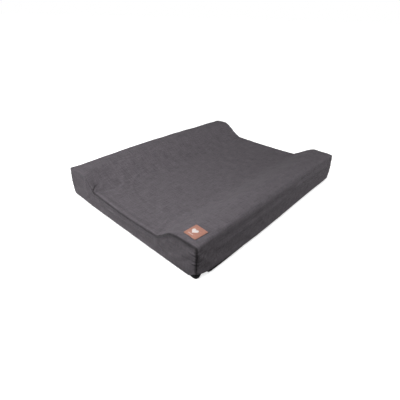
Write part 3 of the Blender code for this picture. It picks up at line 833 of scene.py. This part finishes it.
def buildEndPanel(name, end):
    # an end panel as a patch between the seam line above, the two corners and the foot
    s, rollS = spaced(turnAt, lineLength - turnAt, coverCut["cell"])
    v, rollV = spaced(coverCut["wallEnd"], crestRise, coverCut["fineCell"], rollStart=False)
    share = (v - coverCut["wallEnd"]) / (crestRise - coverCut["wallEnd"])
    across = (s - turnAt) / (lineLength - 2 * turnAt)
    patch = endPatch(pickAlong(s, lineAt, linePoints), pickAlong(share * turnAt, lineAt, linePoints), across, share)
    moved = drapeShift["front" if end < 0 else "back"]
    shift = onGrid(blendWeights(across, drapeGrids["across"]), moved, blendWeights(share, drapeGrids["up"]))
    flat = settle(standing(patch, end * padShape["halfLength"])) + shift
    normals = surfaceNormals(flat) * -end
    whole = np.ones(patch.shape[:2])
    awayTop = (crestRise - v)[None, :] * whole
    fromRight, fromLeft = (s - s[0])[:, None] * whole, (s[-1] - s)[:, None] * whole
    awaySide = np.minimum(fromRight, fromLeft)
    lift = np.where(awayTop < awaySide, rollV[None, :], rollS[:, None]) + puckerGrid(awayTop, s)
    shade = bell(awayTop / coverCut["shadeReach"]["end"]) * seamShade(patch[..., 0])
    for side, fromSeam in ((1, fromRight), (-1, fromLeft)):
        fold, dark = tickHeight(fromSeam, patch[..., 1], 2.0 + end)
        share = 1.0 if side > 0 > end else coverCut["otherTicks"]
        lift, shade = lift + fold * share, shade + dark * share
    shade = np.maximum(shade, coverCut["cornerSeamShade"] * bell(awaySide / coverCut["shadeReach"]["corner"]))
    for crease in endCreases:
        fold, _ = creaseHeight(patch, **crease)
        lift = lift + fold * smooth(awayTop / 0.006) * (1.0 if end < 0 else 0.6)
    lift = lift + 0.0006 * waves(flat, 0.045, 17.0 + end) * smooth(awayTop / 0.02)
    points = flat + normals * lift[..., None]
    return coverPanel(name, points, patch, np.minimum(awayTop, awaySide), shade, flip=end > 0)


topPanel, topSurface = buildTopPanel()
frontPanel = buildEndPanel("coverEndPanelFront", -1)
backPanel = buildEndPanel("coverEndPanelBack", 1)
dress(topPanel, "cover", "cover_fabric", "cover_top_panel")
dress(frontPanel, "cover", "cover_fabric", "cover_end_panel_front")
dress(backPanel, "cover", "cover_fabric", "cover_end_panel_back")
print("cover panels ready")


plainCorners = ((1, -1, -90), (1, 1, 0), (-1, 1, 90), (-1, -1, 180))  # side in x and y, and where the arc starts


def cornerArcs(halfX, halfY, radius, steps):
    # the four rounded corners of a rectangle in plan, in order round it
    turns = [90 * k / steps for k in range(steps + 1)]
    return np.array([[(sideX * (halfX - radius) + radius * math.cos(math.radians(start + turn)),
                       sideY * (halfY - radius) + radius * math.sin(math.radians(start + turn))) for turn in turns]
                     for sideX, sideY, start in plainCorners])


def outline(inset, step, radius=0.004):
    # plan outline of the plain pad shape, as (x, y) and the distance run along it
    points = cornerArcs(padShape["halfWidth"] - inset, padShape["halfLength"] - inset, radius, 6).reshape(-1, 2)
    points = np.concatenate([points, points[:1]])
    run = runAlong(points)
    at = np.linspace(0, run[-1], round(run[-1] / step), endpoint=False)
    return pickAlong(at, run, points), at


def cornerShare(plan, reach):
    # 1 at a corner, 0 beyond the reach, with the front right corner in full and the others at their share
    result = np.zeros(len(plan))
    for sideX, sideY, _ in plainCorners:
        share = 1.0 if sideX > 0 > sideY else hemCut["otherCorners"]
        away = np.linalg.norm(plan - [sideX * padShape["halfWidth"], sideY * padShape["halfLength"]], axis=1)
        result = np.maximum(result, share * smooth(2.2 * (1 - away / reach)))
    return result


def inward(points, distance):
    # moves points in plan towards the middle of the pad
    p = np.array(points, float)
    d = np.asarray(distance)
    p[..., 0] *= 1 - d / padShape["halfWidth"]
    p[..., 1] *= 1 - d / padShape["halfLength"]
    return p


hemCut = {
    "step": 0.0022,
    "middleInset": 0.0105,  # how far under the edge the binding runs along a side
    "cornerInset": 0.0070,  # and at the front right corner, where it shows under the foot of the cover
    "cornerReach": 0.022,
    "otherCorners": 0.45,  # the share of that at the other corners
    "shadowLineShare": 1.15,  # and along the right side next to it, where the black binding is drawn out as a dark line: painted shade for the shadow under the side's foot
    "shadowLineSpan": (0.026, 0.007, 0.08, 0.16),  # where that starts, how soon, where it fades and how slowly
    "shadowLineHigh": 0.48,
    "turnInset": 0.0130,  # it dips out of sight just past the corner
    "turnSpan": (0.0240, 0.0048),
    "halfWidth": 0.0065,
    "halfHeight": 0.0017,
    "cornerHalfWidth": 0.0068,
    "cornerHalfHeight": 0.0056,
    "smoothing": 7,  # points over which the path is evened, so that it turns the corners in a curve
    "gather": 0.0085,  # length of one pucker
    "gatherDepth": 0.30,
    "elastic": (0.0027, 0.0005),
}

hemPlan, hemAt = outline(0.0, hemCut["step"])
hemCorner = cornerShare(hemPlan, hemCut["cornerReach"])
hemEdge = settle(atHeight(hemPlan, coverCut["wallEnd"]))
hemAlong = hemPlan[:, 1] + padShape["halfLength"]
hemRight = hemPlan[:, 0] > 0.24
spanStart, spanRise, spanFade, spanReach = hemCut["shadowLineSpan"]
hemFade = bell(np.clip(hemAlong - spanFade, 0, None) / spanReach)
# the binding drawn out along the right side, so that its black paints the shadow line under the side's foot
hemShadowLine = smooth((hemAlong - spanStart) / spanRise) * hemFade * hemRight
hemTurn = bell((hemAlong - hemCut["turnSpan"][0]) / hemCut["turnSpan"][1]) * hemRight
hemDraw = np.maximum(hemCorner, hemCut["shadowLineShare"] * hemShadowLine)
hemInset = between(hemCut["middleInset"], hemCut["cornerInset"], hemDraw) + hemCut["turnInset"] * hemTurn
hemRaised = np.maximum(hemCorner, hemCut["shadowLineHigh"] * hemShadowLine)
hemHigh = between(hemCut["halfHeight"], hemCut["cornerHalfHeight"], hemRaised)
hemWide = between(hemCut["halfWidth"], hemCut["cornerHalfWidth"], hemCorner)


def evened(points, count):
    # moving average round a closed path
    total = sum(np.roll(points, k, axis=0) for k in range(-(count // 2), count // 2 + 1))
    return total / (2 * (count // 2) + 1)


hemCentre = evened(inward(hemEdge, hemInset), hemCut["smoothing"])

# the walls' fabric turned in under the pad, as shares of the way to the binding and heights
underlapRows = (
    (0.0, 0.0024), (0.03, 0.0014), (0.08, 0.0010), (0.16, 0.0009), (0.3, 0.0010), (0.5, 0.0014), (0.75, 0.0016),
    (1.0, 0.0017),
)


def buildUnderlap():
    inner = evened(inward(hemEdge, np.maximum(hemInset, 0.002)), hemCut["smoothing"])
    raisedShare = np.clip((hemEdge[:, 2] - coverCut["wallEnd"]) / 0.003, 0, 1)
    loops = []
    for a, z in underlapRows:
        loop = between(hemEdge, inner, a)
        plain = z + 0.0005 * a * ripple(hemAt, 0.013, 2.0, a)
        raised = between(hemEdge[:, 2], 1.9 * hemHigh, a**3)
        loop[:, 2] = between(plain, raised, raisedShare)
        loops.append(loop)
    share = np.array(underlapRows)[:, 0]
    uv = np.stack([np.tile(hemAt, len(share)), np.repeat(share * hemCut["middleInset"], len(hemAt))], 1)
    faces = ringFaces(len(share), len(hemAt), flip=True)
    # the folded outer edge of the underlap is drawn a little lighter
    lightened = {"wearAndSheen": np.repeat(0.3 * (share < 0.1), len(hemAt))}
    return makePiece("coverUnderlap", np.concatenate(loops), faces, coverCotton, uv, lightened)


def hemTube(name, halfWidth, halfHeight, around, material, gather=0.0):
    # a tube of oval section along the binding's path
    angle = np.linspace(0, 2 * math.pi, around, endpoint=False)
    pucker = ripple(hemAt, hemCut["gather"], 5.0, 0)
    second = ripple(hemAt / hemCut["gather"] * 1.9, 1.0, 9.0, 0)
    loops = []
    for a in angle:
        across, up = (np.sign(t) * abs(t) ** 0.7 for t in (math.cos(a), math.sin(a)))
        swell = 1 + gather * (pucker * (0.6 + 0.4 * math.cos(a)) + 0.5 * second * math.cos(2 * a))
        loop = inward(hemCentre, -across * halfWidth * (1 + 0.3 * gather * second))
        loop[:, 2] = np.maximum(hemHigh + up * halfHeight * swell, 0.0)
        loops.append(loop)
    uv = np.stack([np.tile(hemAt, around), np.repeat(angle * 0.003, len(hemAt))], 1)
    faces = ringFaces(around, len(hemAt), closedAcross=True)
    # the binding's gathers are drawn lighter where they swell
    lightened = {"wearAndSheen": np.clip(np.tile(pucker, around), 0, 1)}
    return tidyNormals(makePiece(name, np.concatenate(loops), faces, material, uv, lightened))


underlap = dress(thicken(buildUnderlap(), coverCut["cloth"] * 0.7), "cover", "cover_fabric", "cover_underlap")
binding = hemTube("hemBinding", hemWide, hemHigh, 16, hemCotton, hemCut["gatherDepth"])
elastic = hemTube("hemElastic", *hemCut["elastic"], 8, elasticWeb)
dress(binding, "cover", "black_binding", "hem_binding")
dress(elastic, "cover", "white_elastic", "hem_elastic")
print("hem ready")


def makeRowTree():
    # puts one small rounded body at each step along the paths given to it
    tree, given, result = newGroup(
        "repeatAlongPath", "GeometryNodeTree",
        {"Geometry": ("Geometry", None), "Pitch": ("Float", 0.003), "Size": ("Vector", (0.002, 0.0005, 0.0005)),
         "Stray": ("Float", 0.1), "Seed": ("Int", 1), "Material": ("Material", None)},
        {"Geometry": ("Geometry", None)})
    path = addNode(tree, "GeometryNodeMeshToCurve", {"Mesh": given["Geometry"]})
    steps = {"Curve": path.outputs[0], "Length": given["Pitch"]}
    dots = addNode(tree, "GeometryNodeCurveToPoints", steps, mode="LENGTH")
    turn = addNode(tree, "FunctionNodeAlignRotationToVector", {"Vector": dots.outputs["Tangent"]}, axis="X")
    spread = {2: maths(tree, "MULTIPLY", given["Stray"], -1.0), 3: given["Stray"], "Seed": given["Seed"]}
    tilt = addNode(tree, "FunctionNodeRandomValue", spread, data_type="FLOAT")
    spin = addNode(tree, "FunctionNodeAxisAngleToRotation", {"Axis": (0, 0, 1), "Angle": tilt.outputs[1]})
    both = addNode(tree, "FunctionNodeRotateRotation", {0: turn.outputs[0], 1: spin.outputs[0]}, rotation_space="LOCAL")
    body = addNode(tree, "GeometryNodeMeshUVSphere", {"Segments": 8, "Rings": 6, "Radius": 0.5})
    shaded = addNode(tree, "GeometryNodeSetShadeSmooth", {0: body.outputs[0]})
    copies = addNode(tree, "GeometryNodeInstanceOnPoints", {
        "Points": dots.outputs[0], "Instance": shaded.outputs[0], "Rotation": both.outputs[0], "Scale": given["Size"]})
    real = addNode(tree, "GeometryNodeRealizeInstances", {0: copies.outputs[0]})
    painted = addNode(tree, "GeometryNodeSetMaterial", {"Geometry": real.outputs[0], "Material": given["Material"]})
    tree.links.new(painted.outputs[0], result["Geometry"])
    return tree


rowTree = makeRowTree()


def repeatAlong(name, path, closed, material, look):
    # the finished row is one plain mesh
    count = len(path)
    edges = [(k, (k + 1) % count) for k in range(count if closed else count - 1)]
    mesh = bpy.data.meshes.new(name + "Path")
    mesh.from_pydata([tuple(p) for p in path], edges, [])
    carrier = addObject(name + "Path", mesh)
    rows = carrier.modifiers.new("rows", "NODES")
    rows.node_group = rowTree
    values = {**look, "Material": material}
    for item in rowTree.interface.items_tree:
        if item.in_out == "INPUT" and item.name in values:
            rows[item.identifier] = values[item.name]
    made = bpy.data.meshes.new_from_object(carrier.evaluated_get(bpy.context.evaluated_depsgraph_get()))
    bpy.data.objects.remove(carrier)
    made.name = name
    return addObject(name, made)


hemStitch = {"Pitch": 0.0042, "Size": (0.0034, 0.0007, 0.0006), "Stray": 0.10, "Seed": 3}
hemStitchPath = inward(hemCentre, -hemCut["halfWidth"] * 0.45)
hemStitchPath[:, 2] = hemHigh * 1.90
hemThread = repeatAlong("hemStitches", hemStitchPath, True, greyThread, hemStitch)
dress(hemThread, "cover", "grey_thread", "hem_thread")

seamCut = {
    "start": 0.0018, "width": 0.0085, "inset": 0.0022, "bottom": 0.0125, "plyThick": 0.0005, "plyGap": 0.0008,
    "plyStep": 0.0012, "rawEdge": 0.0006, "zigzag": 0.0005,
}
overlock = {"Pitch": 0.0016, "Size": (0.0019, 0.0006, 0.0013), "Stray": 0.5, "Seed": 8}


def sectionPoints(inset, bottom, count):
    # evenly spaced points of a section line, and the distance along it
    run, line = sectionLine(inset, bottom)
    s = np.linspace(0, run[-1], count)
    return s, pickAlong(s, run, line)


def buildAllowance(name, end):
    # two plies of fabric lying against the inside of the top panel, with wavy raw edges
    c = seamCut
    s, line = sectionPoints(c["inset"], c["bottom"], 150)
    points, faces, uv = [], [], []
    for ply in (0, 1):
        e = np.linspace(c["start"], c["start"] + c["width"] - c["plyStep"] * ply, 6)
        wave = ripple(s, 0.02, 4.0 + ply, end)[:, None] * (e / e[-1])[None, :] ** 2
        grid = pulled(line, end * (padShape["halfLength"] - e[None, :] - c["rawEdge"] * wave))
        reach = np.repeat(s[:, None] * lineLength / s[-1], len(e), 1)
        grid = settle(grid) + shiftAt(reach.ravel(), grid[..., 1].ravel()).reshape(grid.shape)
        grid = grid + end * surfaceNormals(grid) * (ply * c["plyGap"])
        faces.append(gridFaces(len(s), len(e), flip=end > 0) + len(s) * len(e) * ply)
        points.append(grid.reshape(-1, 3))
        uv.append(np.stack([np.repeat(s, len(e)), np.tile(e, len(s))], 1))
    points, faces, uv = (np.concatenate(part) for part in (points, faces, uv))
    return thicken(makePiece(name, points, faces, coverCotton, uv), c["plyThick"], 0)


def overlockPath(end):
    s, line = sectionPoints(seamCut["inset"], seamCut["bottom"], 700)
    edge = end * (padShape["halfLength"] - seamCut["start"] - seamCut["width"])
    zigzag = np.where(np.arange(len(s)) % 2 == 0, -1, 1) * seamCut["zigzag"]
    path = standing(line, edge + zigzag)
    return settle(path) + shiftAt(s * lineLength / s[-1], path[:, 1])


allowances = {}
for endName, end in (("Front", -1), ("Back", 1)):
    allowances[endName] = buildAllowance("seamAllowance" + endName, end)
    dress(allowances[endName], "cover", "cover_fabric", "seam_allowance_" + endName.lower())
    rows = repeatAlong("overlockStitches" + endName, overlockPath(end), False, greyThread, overlock)
    dress(rows, "cover", "grey_thread", "overlock_thread_" + endName.lower())
print("seams ready")

patchCut = {
    "centre": (0.2152, -0.2903),
    "side": 0.0364,
    "turn": -5.0,  # degrees, as it isn't sewn quite straight
    "corner": 0.0016,
    "thick": 0.0015,
    "lift": 0.0004,
    "stitchLine": 0.845,  # as a share of the side
}
# the patch's section, from the middle of its underside round the edge to the middle of the top: scale and height
patchRings = (
    (0.30, 0.0), (0.75, 0.0), (0.985, 0.0), (1.0, 0.20), (1.0, 0.62), (0.990, 0.88), (0.972, 0.985), (0.93, 1.0),
    (0.868, 0.96), (0.845, 0.80), (0.822, 0.96), (0.76, 1.0), (0.60, 1.01), (0.40, 1.02), (0.20, 1.02),
)


def coverTop(plan, lift=0.0):
    # point over the finished top panel at a place in plan, lifted off it along its own normal
    plan = np.asarray(plan, float)
    order = np.argsort(linePoints[:, 0])
    t, guess = topSurface, plan.copy()
    for _ in range(7):  # the settled cover is drawn sideways, so the place is found by steps
        s = np.interp(guess[:, 0], linePoints[order, 0], lineAt[order])
        rows, columns = blendWeights(s, t["s"]), blendWeights(guess[:, 1], t["y"])
        spot = atPlaces(rows, t["points"], columns)
        guess += plan - spot[:, :2]
    up = atPlaces(rows, t["normals"], columns)
    return spot + up * np.broadcast_to(lift, len(plan))[:, None]


def onPatch(plan):
    # from the patch's own middle to its place on the cover
    turn = math.radians(patchCut["turn"])
    spin = np.array([[math.cos(turn), math.sin(turn)], [-math.sin(turn), math.cos(turn)]])
    return np.asarray(plan) @ spin + np.array(patchCut["centre"])


def roundedSquare(side, radius, steps=5):
    arcs = cornerArcs(side / 2, side / 2, radius, steps)
    points = []
    for arc, after in zip(arcs, np.roll(arcs, -1, axis=0)):
        points += [*arc, *(between(arc[-1], after[0], k / 10) for k in range(1, 10))]
    return np.array(points)


def buildPatch():
    c = patchCut
    base = roundedSquare(c["side"], c["corner"])
    loops = [coverTop(onPatch(base * scale), c["lift"] + level * c["thick"]) for scale, level in patchRings]
    faces = cappedFaces(len(patchRings), len(base))
    return tidyNormals(makePiece("leatherPatch", np.concatenate(loops), faces, patchLeather))


patchStitch = {"Pitch": 0.0027, "Size": (0.0021, 0.0006, 0.0006), "Stray": 0.06, "Seed": 5}
patch = dress(buildPatch(), "cover", "tan_leather", "leather_patch")
stitchPlan = roundedSquare(*(patchCut[k] * patchCut["stitchLine"] for k in ("side", "corner")))
stitchPath = coverTop(onPatch(stitchPlan), patchCut["lift"] + patchCut["thick"] * 0.98)
patchThread = repeatAlong("patchStitches", stitchPath, True, tanThread, patchStitch)
dress(patchThread, "cover", "grey_thread", "patch_thread")

motifCut = {
    "width": 0.0165,
    "thick": 0.00022,
    "offset": (-0.0028, -0.0008),
    "dot": 0.0009,
    "dotStep": 0.0029,
    "dots": 5,
    "dotsBelow": 0.0118,
    "rings": ((1.0, -0.6), (1.0, 0.4), (0.95, 0.9), (0.80, 1.0), (0.55, 1.0), (0.30, 1.0), (0.08, 1.0)),
}


def heartOutline(count=72):
    t = np.linspace(0, 2 * math.pi, count, endpoint=False)
    x = 16 * np.sin(t) ** 3
    y = 13 * np.cos(t) - 5 * np.cos(2 * t) - 2 * np.cos(3 * t) - np.cos(4 * t)
    return np.stack([x, y + 1.0], 1) / 32


def buildMotif():
    # a plain printed heart with a short row of dots under it, raised a little on the leather
    c = motifCut
    angle = np.linspace(0, 2 * math.pi, 14, endpoint=False)
    circle = np.stack([np.cos(angle), np.sin(angle)], 1) * c["dot"]
    row = [((k - (c["dots"] - 1) / 2) * c["dotStep"] + c["offset"][0], -c["dotsBelow"]) for k in range(c["dots"])]
    points, faces = [], []
    for shape, place in [(heartOutline() * c["width"], c["offset"])] + [(circle, spot) for spot in row]:
        faces += cappedFaces(len(c["rings"]), len(shape), len(points))
        for scale, level in c["rings"]:
            lift = patchCut["lift"] + patchCut["thick"] * 1.02 + level * c["thick"]
            points += [tuple(p) for p in coverTop(onPatch(shape * scale + np.array(place)), lift)]
    return tidyNormals(makePiece("patchMotif", points, faces, motifPaint))


motif = dress(buildMotif(), "cover", "tan_leather")
print("patch ready")

labelCut = {
    "length": 0.032, "height": 0.025, "thick": 0.00022, "inset": 0.0021, "start": 0.3138, "low": 0.0250, "fold": 0.0004,
}


def buildCareLabel():
    # a blank folded tag that hangs in the front left corner seam, between the cover and the pad
    c = labelCut
    along = np.linspace(0, c["length"], 18)
    fold = np.linspace(-math.pi / 2, math.pi / 2, 7)[1:-1]
    x = -(padShape["halfWidth"] - c["inset"])
    path = [(x - c["fold"], a) for a in along]
    path += [(x + c["fold"] * math.sin(t), c["length"] + c["fold"] * math.cos(t)) for t in fold]
    path += [(x + c["fold"], a) for a in along[::-1]]
    path = np.array(path) - [0, c["start"]]
    z = np.linspace(c["low"], c["low"] + c["height"], 12)
    points = settle([[(x, y, height) for height in z] for x, y in path]).reshape(-1, 3)
    uv = np.stack([np.repeat(runAlong(path), len(z)), np.tile(z, len(path))], 1)
    return makePiece("careLabel", points, gridFaces(len(path), len(z)), labelSatin, uv)


careLabel = dress(thicken(buildCareLabel(), labelCut["thick"], 0), "cover", "white_satin", "care_label")

skinCut = {
    "outside": 0.0032, "film": 0.0005, "bottom": 0.0050, "cell": 0.0065, "edge": 0.0022, "lapInset": 0.0024,
    "lapStep": 0.006, "ribs": 0.0088,
}
# the base from the top of the welded lap inwards: distance from the edge and height
skinRows = (
    (0, 0.0122), (0, 0.0095), (0, 0.0070), (0.0003, 0.0052), (0.0012, 0.0044),
    (0.0030, 0.0042), (0.0100, 0.0042), (0.0215, 0.0042), (0.0232, 0.0036), (0.0245, 0.0012), (0.0262, 0.0003),
    (0.0300, 0.0), (0.060, 0.0), (0.110, 0.0), (0.170, 0.0), (0.225, 0.0),
)
skinStep = 0.0262  # where the step that the hem lies in ends
weldRib = {"Pitch": 0.0036, "Size": (0.0016, 0.0005, 0.0050), "Stray": 0.0, "Seed": 2}


def buildSkinTop():
    c = skinCut
    grids = shellGrids(c["outside"], c["bottom"], c["cell"], padShape["halfLength"] - c["outside"])
    piece = tidyNormals(makePiece("padSkinTop", *shellFaces(grids)[:2], skinFilm), 0.00005)
    normals = np.array([v.normal for v in piece.data.vertices])
    if (normals[:, 2] > 0.5).sum() < (normals[:, 2] < -0.5).sum():
        piece.data.flip_normals()
    for vertex in piece.data.vertices:
        vertex.co += vertex.normal * (0.0005 * noise.noise(Vector(vertex.co) / 0.045) - 0.0003)
    soft = piece.modifiers.new("softEdge", "BEVEL")
    soft.width, soft.segments, soft.limit_method, soft.angle_limit = c["edge"], 3, "ANGLE", math.radians(50)
    return thicken(piece, c["film"])


def buildSkinBase():
    # the welded lap, the step that the hem lies in, and the base that bulges down to the table
    plan, _ = outline(skinCut["lapInset"], skinCut["lapStep"])
    loops, edge = [], None
    for inset, z in skinRows:
        if inset < 0.002:
            edge = loop = settle(atHeight(inward(atHeight(plan, 0), inset)[:, :2], z))
        else:
            loop = inward(edge, inset)
            loop[:, 2] = z + footRise(plan[:, 0], plan[:, 1]) * max(0, 1 - inset / skinStep)
        loops.append(loop)
    faces = cappedFaces(len(skinRows), len(plan))[:-1]  # open at the lap
    piece = tidyNormals(makePiece("padSkinBase", np.concatenate(loops), faces, skinFilm))
    if np.mean([p.normal.z for p in piece.data.polygons if abs(p.normal.z) > 0.9]) > 0:
        piece.data.flip_normals()
    return thicken(piece, skinCut["film"])


skinTop = dress(buildSkinTop(), "pad", "white_skin", "skin_top")
skinBase = dress(buildSkinBase(), "pad", "white_skin", "skin_base")
weldPlan, _ = outline(skinCut["lapInset"], skinCut["lapStep"])
weld = repeatAlong("padWeldRibs", settle(atHeight(weldPlan, skinCut["ribs"])), True, skinFilm, weldRib)
dress(weld, "pad", "white_skin")

# sections of the vents' rings in millimetres: radius and height over the skin
ventSections = {
    "eyelet": (
        (4.70, 0.90), (4.92, 0.78), (5.00, 0.60), (5.00, 0.45), (4.92, 0.32), (4.6, 0.30), (2.30, 0.30), (2.30, -1.70),
        (3.2, -1.72), (3.30, -2.0), (3.2, -2.30), (1.70, -2.30), (1.70, 0.35), (1.74, 0.60), (1.90, 0.80), (2.20, 0.92),
        (2.8, 0.96), (4.0, 0.96),
    ),
    "washer": (
        (5.00, -0.85), (5.00, -1.35), (4.90, -1.40), (2.65, -1.40), (2.60, -1.35), (2.60, -0.85), (2.65, -0.80),
        (4.90, -0.80),
    ),
}


def turnedRing(name, section, place, end, steps=40):
    angle = np.linspace(0, 2 * math.pi, steps, endpoint=False)
    circle = np.stack([np.cos(angle), np.sin(angle)], 1)
    loops = [standing(r * circle, end * h) + place for r, h in np.array(section) / 1000]
    faces = ringFaces(len(section), steps, closedAcross=True)
    return tidyNormals(makePiece(name, np.concatenate(loops), faces, ventNickel))


for endName, end in (("front", -1), ("back", 1)):
    for sideName in ("left", "right"):
        for kind in ("eyelet", "washer"):
            node = f"vent_{kind}_{endName}_{sideName}"
            low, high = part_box(node)
            spot = [(a + b) / 2 for a, b in zip(low, high)]
            spot[1] = end * (padShape["halfLength"] - skinCut["outside"])
            name = "vent" + kind.title() + endName.title() + sideName.title()
            ring = turnedRing(name, ventSections[kind], spot, end)
            dress(ring, "pad", "nickel_vent", node)
print("skin and vents ready")

foamCut = {
    "outside": 0.0073, "join": padShape["trough"] - 0.0043, "gap": 0.0004, "halfLength": 0.3181, "bottom": 0.0055,
    "rows": 72,
}


def foamBlock(name, outlinePoints):
    # a closed block pulled along the pad from a closed outline, then settled like the cover
    ys = np.linspace(-foamCut["halfLength"], foamCut["halfLength"], foamCut["rows"])
    loops = [settle(standing(np.asarray(outlinePoints), y)) for y in ys]
    faces = cappedFaces(len(ys), len(outlinePoints))
    piece = tidyNormals(makePiece(name, np.concatenate(loops), faces, openFoam))
    for polygon in piece.data.polygons:
        polygon.use_smooth = len(polygon.vertices) == 4
    piece.data.set_sharp_from_angle(angle=math.radians(40))
    return piece


def buildFoam():
    c = foamCut
    _, line = sectionPoints(c["outside"], c["bottom"], 130)
    edge = line[0, 0]
    low, high = c["join"] - c["gap"] / 2, c["join"] + c["gap"] / 2
    trough = line[(line[:, 1] < low) & (np.abs(line[:, 0]) < 0.16)]
    lowSide = np.linspace(c["bottom"], low, 8)
    slab = [(edge, z) for z in lowSide] + [tuple(p) for p in trough] + [(-edge, z) for z in lowSide[::-1]]
    slab += [(x, c["bottom"]) for x in np.linspace(-edge, edge, 60)[1:-1]]
    made = {"foamSlab": foamBlock("foamSlab", slab)}
    for name, side in (("foamBolsterRight", 1), ("foamBolsterLeft", -1)):
        rise = [(side * abs(x), z) for x, z in line[: len(line) // 2] if z > high + 0.0015]
        flat = np.linspace(rise[-1][0], side * edge, 14)
        made[name] = foamBlock(name, rise + [(x, high) for x in flat])
    return made


foams = buildFoam()
dress(foams["foamSlab"], "pad", "foam", "foam_slab")
dress(foams["foamBolsterLeft"], "pad", "foam", "foam_bolster_left")
dress(foams["foamBolsterRight"], "pad", "foam", "foam_bolster_right")

waddingCut = {"inset": 0.0056, "thick": 0.0028, "bottom": 0.0075, "halfLength": 0.3183, "cell": 0.008}


def buildWadding():
    c = waddingCut
    run, line = sectionLine(c["inset"], c["bottom"])
    s = np.linspace(0, run[-1], round(run[-1] / c["cell"]))
    y = np.linspace(-c["halfLength"], c["halfLength"], round(2 * c["halfLength"] / c["cell"]))
    points = settle(pulled(pickAlong(s, run, line), y)).reshape(-1, 3)
    return makePiece("waddingSheet", points, gridFaces(len(s), len(y)), fleece)


wadding = dress(thicken(buildWadding(), waddingCut["thick"], 0), "pad", "wadding", "wadding_sheet")
print("foam ready")

cameraSpot = {
    "azimuth": 42.145, "elevation": 31.587, "roll": 1.51, "place": (0.55078, -0.65085, 0.47242), "lens": 26.957,
}


def placeCamera(spot):
    azimuth, elevation, roll = (math.radians(spot[k]) for k in ("azimuth", "elevation", "roll"))
    flat = math.cos(elevation)
    back = Vector((math.sin(azimuth) * flat, -math.cos(azimuth) * flat, math.sin(elevation)))
    side = Vector((0, 0, 1)).cross(back).normalized()
    up = back.cross(side)
    rolledSide = side * math.cos(roll) + up * math.sin(roll)
    rolledUp = up * math.cos(roll) - side * math.sin(roll)
    data = bpy.data.cameras.new("studioCamera")
    data.lens = spot["lens"]
    data.clip_start, data.clip_end = 0.01, 150
    scene.camera = addObject("studioCamera", data)
    turn = Matrix((rolledSide, rolledUp, back)).transposed().to_4x4()
    scene.camera.matrix_world = Matrix.Translation(spot["place"]) @ turn


lights = (
    {"name": "frontPanel", "place": (-0.40, -1.14, 0.27), "size": 0.8, "power": 7.3},
    {"name": "farPanel", "place": (1.35, 0.98, 0.14), "size": 0.7, "power": 12.8},
    {"name": "nearPanel", "place": (0.12, -0.44, 0.80), "size": 0.6, "power": 5.7},
)
dome = {"sun": 0.90, "sunSpread": 96.0, "sunTilt": (0.0, 0.02), "world": 0.06}
floorLook = {"tone": 0.95, "bounce": 0.13, "glow": 0.70, "reach": 60.0}


def placeLights():
    for spot in lights:
        data = bpy.data.lights.new(spot["name"], "AREA")
        data.shape, data.size, data.energy = "DISK", spot["size"], spot["power"]
        lamp = addObject(spot["name"], data)
        lamp.location = spot["place"]
        lamp.rotation_euler = (Vector((0, 0, 0.03)) - lamp.location).to_track_quat("-Z", "Y").to_euler()
    data = bpy.data.lights.new("overhead", "SUN")
    data.energy, data.angle = dome["sun"], math.radians(dome["sunSpread"])
    addObject("overhead", data).rotation_euler = (*dome["sunTilt"], 0)
    # the backdrop is white, and gives less light than it shows
    world = bpy.data.worlds.new("studio")
    world.use_nodes = True
    tree = world.node_tree
    glow = tree.nodes["Background"]
    glow.inputs[0].default_value = (1, 1, 1, 1)
    glow.inputs[1].default_value = dome["world"]
    white = addNode(tree, "ShaderNodeBackground", {"Color": (1, 1, 1, 1), "Strength": 1.0})
    seen = addNode(tree, "ShaderNodeLightPath").outputs["Is Camera Ray"]
    mixed = addNode(tree, "ShaderNodeMixShader", {0: seen, 1: glow.outputs[0], 2: white.outputs[0]})
    tree.links.new(mixed.outputs[0], tree.nodes["World Output"].inputs[0])
    scene.world = world


def buildFloor():
    # white to the eye, but it throws less light back on the object than white paper would
    look, plain = floorLook, {"Roughness": 1.0, "Specular IOR Level": 0.0, "Emission Color": (1, 1, 1, 1)}
    material, tree, shader = startMaterial("paleFloor", plain)
    path = addNode(tree, "ShaderNodeLightPath").outputs
    lost = maths(tree, "MULTIPLY", path["Is Diffuse Ray"], look["tone"] - look["bounce"])
    glow = maths(tree, "MULTIPLY", path["Is Camera Ray"], look["glow"])
    tree.links.new(glow, shader.inputs["Emission Strength"])
    tree.links.new(maths(tree, "SUBTRACT", look["tone"], lost), shader.inputs["Base Color"])
    mesh = bpy.data.meshes.new("studioFloor")
    corners = [(look["reach"] * x, look["reach"] * y, 0) for x, y in ((-1, -1), (1, -1), (1, 1), (-1, 1))]
    mesh.from_pydata(corners, [], [(0, 1, 2, 3)])
    mesh.materials.append(material)
    addObject("studioFloor", mesh)


placeCamera(cameraSpot)
placeLights()
buildFloor()
scene.view_settings.view_transform = "Standard"
print("studio ready")
